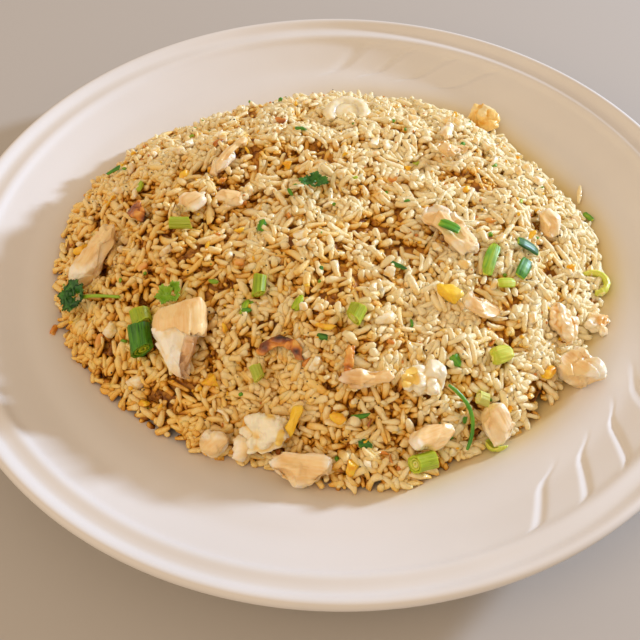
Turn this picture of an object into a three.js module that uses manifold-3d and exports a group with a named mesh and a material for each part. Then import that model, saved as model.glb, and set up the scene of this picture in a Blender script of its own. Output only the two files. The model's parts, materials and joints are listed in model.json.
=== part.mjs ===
// Chicken and egg fried rice on a round porcelain plate with fluted stretches of rim.
// Millimetres, +Z up. The origin is the middle of the foot ring's flat underside, +X is to
// the diner's right and -Y is towards the diner. The rice is one heap with bumps the size of
// its grains; every larger piece of chicken, egg and herb is a solid of its own in a pocket
// of the heap, and the smallest cuts of scallion and egg are fused to the rice.

import * as THREE from 'three';
import { mergeVertices } from 'three/addons/utils/BufferGeometryUtils.js';
import Module from 'manifold-3d';

const wasm = await Module();
wasm.setup();

// ---------------------------------------------------------------- driving dimensions

const PLATE_RADIUS = 148;       // a dinner plate 296 mm over the lip
const PLATE_HEIGHT = 27;        // foot ring to the top of the lip
const FLOOR_HEIGHT = 7;         // top of the flat well floor
const FLOOR_RADIUS = 86;        // where the well floor starts to curve up
const RIM_START = 116;          // shoulder between well and rim
const FLUTE_INNER = 119;        // inner bends of the flute edges
const FLUTE_OUTER = 139;        // outer ends of the flute edges
const FLUTE_DEPTH = 1.4;        // deepest cut of a flute under the rim's face
const FLUTE_PITCH = 8.6;        // degrees from one flute to the next
const FLUTE_SWING = 6.9;        // degrees by which an edge leans from inner bend to outer end
const FLUTES_PER_GROUP = 4;
const FLUTE_GROUPS = [90, -30]; // inner bend of each group's first edge, in degrees

const FIT_GAP = 0.45;           // clearance between pieces that touch
const HEAP_HEIGHT = 41;         // crown of the rice above its edge
const HEAP_EDGE = 0.8;          // thickness of the heap's outermost grains
const HEAP_RINGS = 25;          // rings of rice bumps from crown to edge
const GRAIN_BUMP = 1.5;         // how far a bump of rice stands over the dips beside it
const DENT_REACH = 3.2;         // the rice gives way this far round a topping
const DENT_GAP = 0.8;           // and lies this far under it

const Z_AXIS = new THREE.Vector3(0, 0, 1);
const { cos, sin, hypot, abs, sign, min, max, floor, atan2, PI } = Math;
const radians = THREE.MathUtils.degToRad;

// ------------------------------------------------------------------ shared helpers

// Repeatable random numbers between 0 and 1 for one named seed.
function seededRandom(seed) {
  let state = seed * 7919 + 17;
  return () => {
    state = (state * 48271) % 2147483647;
    return state / 2147483647;
  };
}

// Smooth unevenness between -1 and 1 over the plane, with lumps about `size` across.
function lumps(x, y, size, seed) {
  const corner = (i, j) => {
    const mixed = sin(i * 127.1 + j * 311.7 + seed * 74.7) * 43758.5453;
    return (mixed - floor(mixed)) * 2 - 1;
  };
  const u = x / size;
  const v = y / size;
  const i = floor(u);
  const j = floor(v);
  const fu = THREE.MathUtils.smoothstep(u - i, 0, 1);
  const fv = THREE.MathUtils.smoothstep(v - j, 0, 1);
  const near = THREE.MathUtils.lerp(corner(i, j), corner(i + 1, j), fu);
  const far = THREE.MathUtils.lerp(corner(i, j + 1), corner(i + 1, j + 1), fu);
  return THREE.MathUtils.lerp(near, far, fv);
}

// Height at `x` on the straight lines that join [x, height] stations.
function alongStations(stations, x) {
  let k = 1;
  while (k < stations.length - 1 && stations[k][0] < x) k += 1;
  const [x0, h0] = stations[k - 1];
  const [x1, h1] = stations[k];
  return THREE.MathUtils.lerp(h0, h1, THREE.MathUtils.clamp((x - x0) / (x1 - x0), 0, 1));
}

function geometryFrom(positions, indices) {
  const geometry = new THREE.BufferGeometry();
  geometry.setAttribute('position', new THREE.Float32BufferAttribute(positions, 3));
  geometry.setIndex(indices);
  return geometry;
}

// A closed three.js geometry with one vertex at each corner.
function weld(geometry) {
  geometry.deleteAttribute('normal');
  geometry.deleteAttribute('uv');
  return mergeVertices(geometry, 1e-3);
}

function solidFrom(geometry) {
  return new wasm.Manifold(new wasm.Mesh({
    numProp: 3,
    vertProperties: new Float32Array(geometry.attributes.position.array),
    triVerts: new Uint32Array(geometry.index.array),
  }));
}

// The largest body of a solid: a cut can leave loose scraps, which are dropped.
function largestBody(solid) {
  return solid.decompose().reduce((best, body) => (body.volume() > best.volume() ? body : best));
}

function geometryOf(solid) {
  const mesh = largestBody(solid).getMesh();
  return geometryFrom(Array.from(mesh.vertProperties), Array.from(mesh.triVerts));
}

// The same closed surface moved outwards by about `distance`.
function grown(geometry, distance) {
  const copy = geometry.clone();
  copy.computeVertexNormals();
  const { position, normal } = copy.attributes;
  for (let k = 0; k < position.count; k += 1) {
    position.setXYZ(
      k,
      position.getX(k) + normal.getX(k) * distance,
      position.getY(k) + normal.getY(k) * distance,
      position.getZ(k) + normal.getZ(k) * distance,
    );
  }
  return copy;
}

// Triangles between two closed rings of any counts, given as lists of vertex numbers that
// both run counter-clockwise from the same side. The faces look up when `inner` lies inside.
function zipRings(inner, outer, indices) {
  let a = 0;
  let b = 0;
  while (a < inner.length || b < outer.length) {
    const advanceOuter = a === inner.length
      || (b < outer.length && (b + 1) / outer.length <= (a + 1) / inner.length);
    if (advanceOuter) {
      indices.push(inner[a % inner.length], outer[b % outer.length], outer[(b + 1) % outer.length]);
      b += 1;
    } else {
      indices.push(inner[a % inner.length], outer[b % outer.length], inner[(a + 1) % inner.length]);
      a += 1;
    }
  }
}

// ---------------------------------------------------------------------------- plate

// Section of the plate's face from the middle out: flat floor, well wall, shoulder, sloped
// rim, raised ridge, shallow groove and rounded lip.
const FACE_SECTION = [
  [0, FLOOR_HEIGHT],
  [FLOOR_RADIUS, FLOOR_HEIGHT],
  [94, 7.9],
  [102, 10.1],
  [110, 13.4],
  [RIM_START, 15.0],
  [FLUTE_INNER + 2, 16.2],
  [127, 18.9],
  [133, 21.6],
  [FLUTE_OUTER - 1, 24.1],
  [140.4, 25.1],
  [142.6, 24.8],
  [PLATE_RADIUS - 2.4, PLATE_HEIGHT],
  [PLATE_RADIUS, PLATE_HEIGHT - 1.8],
];

// Section of the underside from the lip back in, with the flat foot ring the plate rests on.
const FOOT_OUTER = 86;
const FOOT_INNER = 79.5;
const UNDER_SECTION = [
  [PLATE_RADIUS - 1.4, PLATE_HEIGHT - 3.6],
  [138, 20.2],
  [120, 11.6],
  [98, 4.2],
  [FOOT_OUTER + 1.2, 2.6],
  [FOOT_OUTER, 0],
  [FOOT_INNER, 0],
  [FOOT_INNER - 1.2, 2.5],
  [0, 2.5],
];

function plateFace(radius) {
  return alongStations(FACE_SECTION, radius);
}

// The flute edges lean: the inner end of an edge stands `FLUTE_SWING` degrees further round,
// counter-clockwise, than its outer end.
function fluteLean(radius) {
  const along = THREE.MathUtils.clamp((radius - FLUTE_INNER) / (FLUTE_OUTER - FLUTE_INNER), 0, 1);
  return -FLUTE_SWING * along;
}

// How deep the face is cut at `column` degrees (measured at the inner bends): each flute is
// deepest along its own edge and rises counter-clockwise to the next edge.
function fluteCut(column, radius) {
  const inward = THREE.MathUtils.smoothstep(radius, FLUTE_INNER - 3, FLUTE_INNER + 7);
  const outward = 1 - THREE.MathUtils.smoothstep(radius, FLUTE_OUTER, FLUTE_OUTER + 1.4);
  let deepest = 0;
  for (const first of FLUTE_GROUPS) {
    for (let k = 0; k < FLUTES_PER_GROUP; k += 1) {
      const span = k === 0 ? 1.6 : 1;
      const past = THREE.MathUtils.euclideanModulo(column - (first - k * FLUTE_PITCH), 360);
      const across = past / (span * FLUTE_PITCH);
      if (across > 0 && across < 1) deepest = max(deepest, (1 - across) ** 2);
    }
  }
  return FLUTE_DEPTH * deepest * inward * outward;
}

// Columns stand close together at each flute edge and further apart on the plain rim.
function plateColumns() {
  const plainStep = 7;
  const edgeHalf = 0.3;
  const withinFlute = [0.36, 0.68];
  const columns = [];
  FLUTE_GROUPS.forEach((first, group) => {
    for (let k = FLUTES_PER_GROUP - 1; k >= 0; k -= 1) {
      const edge = first - k * FLUTE_PITCH;
      columns.push(edge - edgeHalf, edge + edgeHalf);
      withinFlute.forEach((share) => columns.push(edge + share * FLUTE_PITCH));
    }
    const end = first + FLUTE_PITCH;
    const next = FLUTE_GROUPS[(group + 1) % FLUTE_GROUPS.length];
    const nextStart = next - (FLUTES_PER_GROUP - 1) * FLUTE_PITCH - edgeHalf;
    const spread = THREE.MathUtils.euclideanModulo(nextStart - end, 360);
    const steps = floor(spread / plainStep);
    for (let k = 0; k < steps; k += 1) columns.push(end + (spread * k) / steps);
  });
  return columns.map((angle) => THREE.MathUtils.euclideanModulo(angle, 360)).sort((a, b) => a - b);
}

// Both sections turned round the axis in one closed skin, with the flutes cut in the face.
function plateGeometry() {
  const columns = plateColumns();
  const positions = [0, 0, FLOOR_HEIGHT];
  const indices = [];
  const rings = [];
  const addRing = ([radius, height], fluted) => {
    const ring = columns.map((column) => {
      const angle = radians(column + (fluted ? fluteLean(radius) : -FLUTE_SWING));
      const z = height - (fluted ? fluteCut(column, radius) : 0);
      positions.push(radius * cos(angle), radius * sin(angle), z);
      return positions.length / 3 - 1;
    });
    rings.push(ring);
  };
  FACE_SECTION.slice(1).forEach((station) => addRing(station, true));
  UNDER_SECTION.slice(0, -1).forEach((station) => addRing(station, false));
  rings[0].forEach((vertex, c) => indices.push(0, vertex, rings[0][(c + 1) % columns.length]));
  for (let k = 1; k < rings.length; k += 1) {
    rings[k].forEach((_, c) => {
      const next = (c + 1) % columns.length;
      indices.push(rings[k - 1][c], rings[k][c], rings[k][next]);
      indices.push(rings[k - 1][c], rings[k][next], rings[k - 1][next]);
    });
  }
  const under = positions.length / 3;
  positions.push(0, 0, UNDER_SECTION[UNDER_SECTION.length - 1][1]);
  const last = rings[rings.length - 1];
  last.forEach((vertex, c) => indices.push(vertex, under, last[(c + 1) % columns.length]));
  return geometryFrom(positions, indices);
}

// ------------------------------------------------------------------------------ rice

// How far the heap reaches from the middle, at equal steps counter-clockwise from +X.
const HEAP_REACH = [
  104, 105, 102, 104, 106, 104, 105, 102, 104, 107, 109, 110, 109, 108, 105, 101,
  98, 95, 99, 101, 97, 100, 97, 101,
];
// The heap's edge at any angle, on one smooth closed curve through those reaches.
function heapReach(angle) {
  const count = HEAP_REACH.length;
  const along = (THREE.MathUtils.euclideanModulo(angle, 2 * PI) / (2 * PI)) * count;
  const step = floor(along);
  const t = along - step;
  const [before, here, next, after] = [-1, 0, 1, 2].map((m) => HEAP_REACH[(step + m + count) % count]);
  const bend = 2 * before - 5 * here + 4 * next - after;
  const twist = 3 * (here - next) + after - before;
  return here + 0.5 * t * (next - before + t * (bend + t * twist));
}

// The heap's face without its grains: a broad crown, steep at the edge, in soft clumps.
function heapFace(x, y) {
  const radius = hypot(x, y);
  const out = min(radius / heapReach(atan2(y, x)), 1);
  const crown = HEAP_HEIGHT * (1 - out ** 2.6) ** 0.8;
  const clumps = 2.2 * lumps(x, y, 30, 3) + 1.3 * lumps(x, y, 13, 8);
  return plateFace(radius) + FIT_GAP + HEAP_EDGE + crown + clumps * min(1, (1 - out) / 0.15);
}

function heapNormal(x, y) {
  const step = 4;
  const slopeX = (heapFace(x + step, y) - heapFace(x - step, y)) / (2 * step);
  const slopeY = (heapFace(x, y + step) - heapFace(x, y - step)) / (2 * step);
  return new THREE.Vector3(-slopeX, -slopeY, 1).normalize();
}

// Points of the heap's face in rings, six more on each ring, so that all lie a grain apart.
function heapPoints() {
  const random = seededRandom(5);
  const points = [{ x: 0, y: 0, ring: 0 }];
  for (let ring = 1; ring <= HEAP_RINGS; ring += 1) {
    for (let k = 0; k < 6 * ring; k += 1) {
      const loose = ring < HEAP_RINGS ? 0.5 : 0;
      const out = (ring + loose * (random() - 0.5)) / HEAP_RINGS;
      const angle = (2 * PI * (k + loose * (random() - 0.5))) / (6 * ring);
      const radius = out * heapReach(angle);
      points.push({ x: radius * cos(angle), y: radius * sin(angle), ring });
    }
  }
  return points;
}

// Bumps of rice: two neighbouring points stand up together as one grain, 8 mm long, and the
// points round them lie low.
function raiseGrains(points) {
  const spacing = HEAP_REACH[0] / HEAP_RINGS;
  const reach = 1.35 * spacing;
  const random = seededRandom(11);
  const order = points.map((_, k) => k).sort(() => random() - 0.5);
  const height = points.map(() => null);
  for (const k of order) {
    if (height[k] !== null) continue;
    const near = order.filter((m) => m !== k
      && hypot(points[m].x - points[k].x, points[m].y - points[k].y) < reach);
    const free = near.filter((m) => height[m] === null);
    const partner = free.length > 0 ? free[floor(random() * free.length)] : k;
    const top = GRAIN_BUMP * (0.55 + 0.6 * random());
    height[k] = top;
    height[partner] = top;
    free.filter((m) => m !== partner && random() < 0.8).forEach((m) => {
      height[m] = -GRAIN_BUMP * (0.35 + 0.5 * random());
    });
  }
  return height;
}

// The heap's closed skin, dented under each of the given toppings so that it lies round them.
function heapGeometry(toppings) {
  const points = heapPoints();
  const grains = raiseGrains(points);
  const positions = points.flatMap(({ x, y, ring }, k) => {
    const bump = ring < HEAP_RINGS ? grains[k] : 0;
    let height = heapFace(x, y) + bump;
    for (const { position } of toppings) {
      for (let m = 0; m < position.count; m += 1) {
        const apart = hypot(position.getX(m) - x, position.getY(m) - y);
        if (apart < DENT_REACH) height = min(height, position.getZ(m) - DENT_GAP);
      }
    }
    return [x, y, max(height, plateFace(hypot(x, y)) + FIT_GAP + HEAP_EDGE)];
  });
  const indices = [];
  const ringStart = (ring) => (ring === 0 ? 0 : 1 + 3 * ring * (ring - 1));
  const onRing = (ring, k) => (ring === 0 ? 0 : ringStart(ring) + (k % (6 * ring)));
  for (let ring = 0; ring < HEAP_RINGS; ring += 1) {
    for (let sector = 0; sector < 6; sector += 1) {
      for (let k = 0; k <= ring; k += 1) {
        const inner = onRing(ring, sector * ring + k);
        const outer = sector * (ring + 1) + k;
        indices.push(inner, onRing(ring + 1, outer), onRing(ring + 1, outer + 1));
        if (k < ring) indices.push(inner, onRing(ring + 1, outer + 1), onRing(ring, sector * ring + k + 1));
      }
    }
  }
  // The underside follows the well from the heap's edge to its middle.
  let upper = Array.from({ length: 6 * HEAP_RINGS }, (_, k) => ringStart(HEAP_RINGS) + k);
  const beds = [[92, 60], [FLOOR_RADIUS - 2, 30]];
  for (const [radius, count] of beds) {
    const lower = Array.from({ length: count }, (_, k) => {
      const angle = (2 * PI * k) / count;
      positions.push(radius * cos(angle), radius * sin(angle), plateFace(radius) + FIT_GAP);
      return positions.length / 3 - 1;
    });
    const under = [];
    zipRings(lower, upper, under);
    for (let k = 0; k < under.length; k += 3) indices.push(under[k], under[k + 2], under[k + 1]);
    upper = lower;
  }
  positions.push(0, 0, FLOOR_HEIGHT + FIT_GAP);
  const middle = positions.length / 3 - 1;
  upper.forEach((vertex, k) => indices.push(vertex, middle, upper[(k + 1) % upper.length]));
  return geometryFrom(positions, indices);
}

// --------------------------------------------------------------- shapes of the toppings

// A rounded, uneven block with its length along X. `taper` narrows the +X end, `boxy` below
// 1 squares it up, and `rough` is the share by which its skin wanders in and out.
function chunk({ size, detail = 1, taper = 0, boxy = 0.8, rough = 0.12, seed = 1 }) {
  const geometry = weld(new THREE.IcosahedronGeometry(1, detail));
  const { position } = geometry.attributes;
  const phase = seed * 2.399;
  for (let k = 0; k < position.count; k += 1) {
    const [x, y, z] = [position.getX(k), position.getY(k), position.getZ(k)];
    const wander = sin(3.1 * x + 2.3 * y + phase) + cos(3.7 * y - 2.9 * z + 1.7 * phase)
      + 0.7 * sin(6.1 * z + 5.3 * x - phase) + 0.5 * cos(7.9 * y + 4.3 * x + 2 * phase);
    const reach = 1 + rough * wander * 0.5;
    const square = (value) => sign(value) * abs(value) ** boxy;
    const narrow = 1 - taper * x;
    position.setXYZ(
      k,
      0.5 * size[0] * square(x) * reach,
      0.5 * size[1] * square(y) * reach * narrow,
      0.5 * size[2] * square(z) * reach * (1 - 0.5 * taper * x),
    );
  }
  return geometry;
}

// A closed bar along a curve, rounded at both ends: `wide` across and `thick` through.
function bar({ path, steps, sides = 6, wide, thick, blunt = 0.6 }) {
  const positions = [];
  const indices = [];
  const rings = [];
  const middle = path.getPoint(0.5);
  for (let s = 0; s <= steps; s += 1) {
    const along = s / steps;
    const centre = path.getPoint(along);
    const forward = path.getTangent(along);
    const up = Z_AXIS.clone().addScaledVector(forward, -forward.z).normalize();
    const side = new THREE.Vector3().crossVectors(up, forward);
    const end = min(along, 1 - along) * steps;
    const swell = end === 0 ? blunt : 1;
    rings.push(Array.from({ length: sides }, (_, k) => {
      const turn = (2 * PI * (k + 0.5)) / sides;
      const point = centre.clone()
        .addScaledVector(side, 0.5 * wide * cos(turn) * swell)
        .addScaledVector(up, 0.5 * thick * sin(turn) * swell)
        .sub(middle);
      positions.push(point.x, point.y, point.z);
      return positions.length / 3 - 1;
    }));
  }
  for (let s = 1; s <= steps; s += 1) {
    for (let k = 0; k < sides; k += 1) {
      const next = (k + 1) % sides;
      indices.push(rings[s - 1][k], rings[s][next], rings[s][k]);
      indices.push(rings[s - 1][k], rings[s - 1][next], rings[s][next]);
    }
  }
  for (let k = 1; k < sides - 1; k += 1) {
    indices.push(rings[0][0], rings[0][k + 1], rings[0][k]);
    indices.push(rings[steps][0], rings[steps][k], rings[steps][k + 1]);
  }
  return facingOut(geometryFrom(positions, indices));
}

// The same closed surface with its faces turned to look outwards.
function facingOut(geometry) {
  const index = Array.from(geometry.index.array);
  const at = (k) => new THREE.Vector3().fromBufferAttribute(geometry.attributes.position, k);
  let volume = 0;
  for (let k = 0; k < index.length; k += 3) {
    volume += at(index[k]).dot(at(index[k + 1]).cross(at(index[k + 2])));
  }
  if (volume < 0) {
    for (let k = 0; k < index.length; k += 3) [index[k + 1], index[k + 2]] = [index[k + 2], index[k + 1]];
  }
  geometry.setIndex(index);
  return geometry;
}

// A strip with its length along X, arched up by `arch` in its middle and bowed sideways.
function strip({ size, arch = 0, bow = 0, steps = 4, sides = 6, blunt = 0.75 }) {
  const [length, wide, thick] = size;
  const path = new THREE.QuadraticBezierCurve3(
    new THREE.Vector3(-length / 2, 0, 0),
    new THREE.Vector3(0, 2 * bow, 2 * arch),
    new THREE.Vector3(length / 2, 0, 0),
  );
  return bar({ path, steps, sides, wide, thick, blunt });
}

// Part of a ring that lies flat: `sweep` degrees of a circle, open towards -Y.
function arc({ radius, sweep, wide, thick, steps = 8, sides = 6 }) {
  class RingArc extends THREE.Curve {
    getPoint(t, target = new THREE.Vector3()) {
      const angle = radians(90 + sweep * (t - 0.5));
      return target.set(radius * cos(angle), radius * sin(angle), 0);
    }
  }
  return bar({ path: new RingArc(), steps, sides, wide, thick, blunt: 0.8 });
}

// A cut length of hollow scallion lying along X.
function tube({ length, outside, bore, sides = 10, slant = 0.12 }) {
  const profile = [[bore / 2, -1], [outside / 2, -1], [outside / 2, 1], [bore / 2, 1], [bore / 2, -1]];
  const geometry = weld(new THREE.LatheGeometry(
    profile.map(([radius, end]) => new THREE.Vector2(radius, (end * length) / 2)),
    sides,
  ));
  geometry.rotateZ(-PI / 2);
  const { position } = geometry.attributes;
  for (let k = 0; k < position.count; k += 1) {
    position.setX(k, position.getX(k) + slant * position.getY(k));
  }
  return facingOut(geometry);
}

// A thin wavy leaf with `lobes` round its edge. Both faces have the same triangles.
function leaf({ length, width, lobes, thick = 0.7, wave = 1.2, seed = 1 }) {
  const around = 4 * lobes;
  const rim = (k) => {
    const turn = (2 * PI * k) / around;
    const cut = [1, 0.86, 0.62, 0.86][k % 4];
    return [0.5 * length * cut * cos(turn), 0.5 * width * cut * sin(turn)];
  };
  const flat = [[0, 0]];
  for (const share of [0.55, 1]) {
    for (let k = 0; k < around; k += 1) flat.push(rim(k).map((value) => value * share));
  }
  const lift = ([x, y]) => wave * (sin(7 * x / length + seed) * cos(6 * y / width + 2 * seed));
  const half = flat.length;
  const positions = [
    ...flat.flatMap((p) => [p[0], p[1], lift(p) + thick / 2]),
    ...flat.flatMap((p) => [p[0], p[1], lift(p) - thick / 2]),
  ];
  const upper = [];
  for (let k = 0; k < around; k += 1) {
    const next = (k + 1) % around;
    const [a, b] = [1 + k, 1 + next];
    upper.push(0, a, b, a, a + around, b + around, a, b + around, b);
  }
  const indices = [...upper];
  for (let k = 0; k < upper.length; k += 3) {
    const [a, b, c] = upper.slice(k, k + 3);
    indices.push(a + half, c + half, b + half);
  }
  for (let k = 0; k < around; k += 1) {
    const [a, b] = [1 + around + k, 1 + around + ((k + 1) % around)];
    indices.push(a, a + half, b + half, a, b + half, b);
  }
  return facingOut(geometryFrom(positions, indices));
}

// A leaf with its own stalk running out along +X.
function sprig({ length, width, lobes, stalk, seed }) {
  const blade = solidFrom(leaf({ length, width, lobes, thick: 0.9, wave: 1.0, seed }));
  const stem = strip({ size: [stalk, 1.5, 1.4], arch: 0.8, steps: 4, sides: 5 });
  stem.translate(stalk / 2, 0, 0.4);
  return geometryOf(blade.add(solidFrom(stem)));
}

// ------------------------------------------------------------------------ toppings

const CHICKEN = { color: 0xdcc5a2, roughness: 0.45 };
const EGG_WHITE = { color: 0xefe0b8, roughness: 0.5 };
const EGG_YOLK = { color: 0xeeb524, roughness: 0.5 };
const EGG_GOLD = { color: 0xdcae62, roughness: 0.5 };
const BROWNED = { color: 0x8c3c10, roughness: 0.45 };
const ONION = { color: 0xf0e2bd, roughness: 0.3 };
const SCALLION_PALE = { color: 0xb4cf52, roughness: 0.3 };
const SCALLION_DEEP = { color: 0x2c7a1d, roughness: 0.3 };
const HERB = { color: 0x124f1a, roughness: 0.45 };
const GRAIN = { color: 0xefe3c6, roughness: 0.35 };

// Each topping: its name, finish and shape, the place of its middle on the heap, how far it
// is turned (degrees from +X), how far its middle stands over the rice, and how far it leans
// about its own length or pitches up its front end.
const TOPPINGS = [
  {
    name: 'chicken_large', finish: CHICKEN, at: [-51, -56.4], turn: -82, lift: 2.2, pitch: 4,
    shape: chunk({ size: [27, 17.5, 12], detail: 2, taper: 0.42, boxy: 0.7, rough: 0.1, seed: 1 }),
  },
  {
    name: 'chicken_left', finish: CHICKEN, at: [-91, -12], turn: 48, lift: 0.8,
    shape: chunk({ size: [24.5, 11.5, 8], detail: 2, taper: 0.25, boxy: 0.8, rough: 0.2, seed: 2 }),
  },
  {
    name: 'chicken_back_left', finish: CHICKEN, at: [-42, 22], turn: 52, lift: 1.4, pitch: -8,
    shape: strip({ size: [19, 5, 4.5], arch: 1.5, steps: 6 }),
  },
  {
    name: 'chicken_mid_left', finish: CHICKEN, at: [-55, -2.6], turn: 46, lift: 0.6,
    shape: chunk({ size: [15, 8.5, 5.5], taper: -0.2, seed: 4 }),
  },
  {
    name: 'chicken_front_left', finish: CHICKEN, at: [-39, -85.5], turn: 30, lift: 1.8,
    shape: chunk({ size: [11, 9, 8], taper: 0.15, seed: 5 }),
  },
  {
    name: 'chicken_front_left_small', finish: CHICKEN, at: [-31, -87], turn: 85, lift: 1.2,
    shape: chunk({ size: [10, 7.5, 7], taper: -0.2, seed: 6 }),
  },
  {
    name: 'chicken_front', finish: CHICKEN, at: [-10, -93.5], turn: -14, lift: 1.6,
    shape: chunk({ size: [21, 10, 7], detail: 2, taper: -0.18, boxy: 0.75, rough: 0.2, seed: 7 }),
  },
  {
    name: 'chicken_right', finish: CHICKEN, at: [88.5, -54], turn: 120, lift: 4.5,
    shape: chunk({ size: [15.5, 14, 13], detail: 2, taper: 0.3, boxy: 0.7, rough: 0.1, seed: 8 }),
  },
  {
    name: 'chicken_front_right', finish: CHICKEN, at: [55.5, -76.5], turn: -48, lift: 1.8,
    shape: chunk({ size: [15.5, 12.5, 7], detail: 2, taper: 0.1, rough: 0.12, seed: 9 }),
  },
  {
    name: 'chicken_front_middle', finish: CHICKEN, at: [33, -85], turn: 22, lift: 0.9,
    shape: chunk({ size: [17, 9, 7], taper: 0.1, rough: 0.16, seed: 10 }),
  },
  {
    name: 'chicken_slice', finish: CHICKEN, at: [40.6, -12.4], turn: -45, lift: 0.7,
    shape: chunk({ size: [26, 12.5, 4.5], detail: 2, taper: 0.12, boxy: 0.7, rough: 0.1, seed: 11 }),
  },
  {
    name: 'chicken_right_middle', finish: CHICKEN, at: [51.5, -41], turn: -14, lift: 0.6,
    shape: chunk({ size: [15, 8, 5], taper: 0.15, rough: 0.16, seed: 12 }),
  },
  {
    name: 'chicken_back', finish: CHICKEN, at: [44.6, 34], turn: 35, lift: 1.0,
    shape: chunk({ size: [12.5, 10.5, 5.5], taper: 0.2, rough: 0.18, seed: 13 }),
  },
  {
    name: 'chicken_back_right', finish: CHICKEN, at: [80.4, 5.4], turn: -30, lift: 1.4,
    shape: chunk({ size: [12, 10, 7], taper: 0.1, seed: 14 }),
  },
  {
    name: 'chicken_middle', finish: CHICKEN, at: [10.5, -72], turn: 6, lift: 0.7,
    shape: chunk({ size: [17.5, 6.4, 5], taper: -0.1, rough: 0.16, seed: 15 }),
  },
  {
    name: 'chicken_slab', finish: CHICKEN, at: [-39.8, 1], turn: -4, lift: 0.7,
    shape: chunk({ size: [12, 6.5, 4.5], taper: -0.1, boxy: 0.75, seed: 16 }),
  },
  {
    name: 'chicken_back_sliver', finish: CHICKEN, at: [43.4, 47], turn: 78, lift: 1.0,
    shape: strip({ size: [15, 4.6, 4], arch: 0.8, steps: 4 }),
  },
  {
    name: 'egg_front', finish: EGG_WHITE, at: [-22.5, -84], turn: 8, lift: 1.9,
    shape: chunk({ size: [15.5, 11.5, 6], detail: 2, boxy: 0.85, rough: 0.34, seed: 21 }),
  },
  {
    name: 'egg_front_yolk', finish: EGG_YOLK, at: [-12.2, -82], turn: 64, lift: 1.7,
    shape: strip({ size: [10.5, 5, 4], bow: -1.6, arch: 0.8, steps: 5 }),
  },
  {
    name: 'egg_middle', finish: EGG_WHITE, at: [29.5, -69.5], turn: 12, lift: 1.0,
    shape: chunk({ size: [17, 10, 5.5], boxy: 0.85, rough: 0.34, seed: 22 }),
  },
  {
    name: 'egg_right', finish: EGG_GOLD, at: [82, -35.6], turn: -62, lift: 1.2,
    shape: chunk({ size: [12.5, 11, 6.5], boxy: 0.9, rough: 0.3, seed: 23 }),
  },
  {
    name: 'egg_far_right', finish: EGG_GOLD, at: [97.5, -29], turn: 66, lift: 1.4,
    shape: chunk({ size: [10.5, 8, 7], boxy: 0.9, rough: 0.36, seed: 24 }),
  },
  {
    name: 'egg_back', finish: EGG_GOLD, at: [65, 84.5], turn: -48, lift: 4.2,
    shape: chunk({ size: [15, 10.5, 10], boxy: 0.8, rough: 0.22, seed: 25 }),
  },
  {
    name: 'egg_yolk_middle', finish: EGG_YOLK, at: [39, -39.5], turn: -28, lift: 1.0,
    shape: chunk({ size: [9, 6, 4.5], rough: 0.2, seed: 26 }),
  },
  {
    name: 'browned_crescent', finish: BROWNED, at: [-17, -59.4], turn: -14, lift: 1.3,
    shape: arc({ radius: 7.5, sweep: 150, wide: 4.2, thick: 2.2, steps: 7 }),
  },
  {
    name: 'browned_strip', finish: BROWNED, at: [5, -66.5], turn: 82, lift: 1.1,
    shape: strip({ size: [9, 3.4, 2.6], arch: 0.6 }),
  },
  {
    name: 'browned_left', finish: BROWNED, at: [-74.4, -1], turn: -50, lift: 0.9,
    shape: chunk({ size: [10, 6.6, 4], rough: 0.3, seed: 29 }),
  },
  {
    name: 'onion_ring', finish: ONION, at: [3.2, 67], turn: 0, lift: 2.0, lean: 28,
    shape: arc({ radius: 7.2, sweep: 230, wide: 4.4, thick: 2.4, steps: 9 }),
  },
  {
    name: 'herb_sprig', finish: HERB, at: [-96, -28.5], turn: -12, lift: 1.6,
    shape: sprig({ length: 17, width: 12.5, lobes: 4, stalk: 23, seed: 4 }),
  },
  {
    name: 'herb_leaf_left', finish: SCALLION_DEEP, at: [-55.5, -40.6], turn: 14, lift: 1.5,
    shape: leaf({ length: 11, width: 7.5, lobes: 4, seed: 2 }),
  },
  {
    name: 'herb_leaf_middle', finish: HERB, at: [-8, 4.5], turn: 8, lift: 1.5,
    shape: leaf({ length: 12, width: 8, lobes: 4, wave: 1.4, seed: 7 }),
  },
  {
    name: 'scallion_left_pale', finish: SCALLION_PALE, at: [-66.6, -46.6], turn: 96, lift: 1.8,
    shape: tube({ length: 5.4, outside: 7.4, bore: 3 }),
  },
  {
    name: 'scallion_left_deep', finish: SCALLION_DEEP, at: [-66.6, -52.8], turn: 84, lift: 1.8,
    shape: tube({ length: 8.6, outside: 8.4, bore: 4 }),
  },
  {
    name: 'scallion_middle', finish: SCALLION_PALE, at: [-26, -41], turn: 84, lift: 1.0,
    shape: tube({ length: 7, outside: 4.4, bore: 2.2, sides: 8 }),
  },
  {
    name: 'scallion_short', finish: SCALLION_PALE, at: [-25.5, -67.5], turn: 108, lift: 1.1,
    shape: tube({ length: 5, outside: 4, bore: 1.8, sides: 8 }),
  },
  {
    name: 'scallion_mid_left', finish: SCALLION_PALE, at: [-56, -12], turn: -4, lift: 1.1,
    shape: tube({ length: 7.6, outside: 4.6, bore: 2.4, sides: 8 }),
  },
  {
    name: 'scallion_on_slice', finish: SCALLION_DEEP, at: [39.6, -14.6], turn: -24, lift: 4.0,
    shape: strip({ size: [8, 5, 1.2], arch: 0.4 }),
  },
  {
    name: 'scallion_sheet', finish: SCALLION_PALE, at: [54.5, -22.5], turn: 72, lift: 1.2,
    shape: strip({ size: [14, 5.4, 1.4], arch: 0.9, bow: 1.2, steps: 5 }),
  },
  {
    name: 'scallion_right_upper', finish: HERB, at: [69.5, -12.5], turn: -6, lift: 1.3,
    shape: strip({ size: [10, 5, 1.5], arch: 0.5 }),
  },
  {
    name: 'scallion_right_lower', finish: HERB, at: [67, -23], turn: 66, lift: 1.3,
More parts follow.
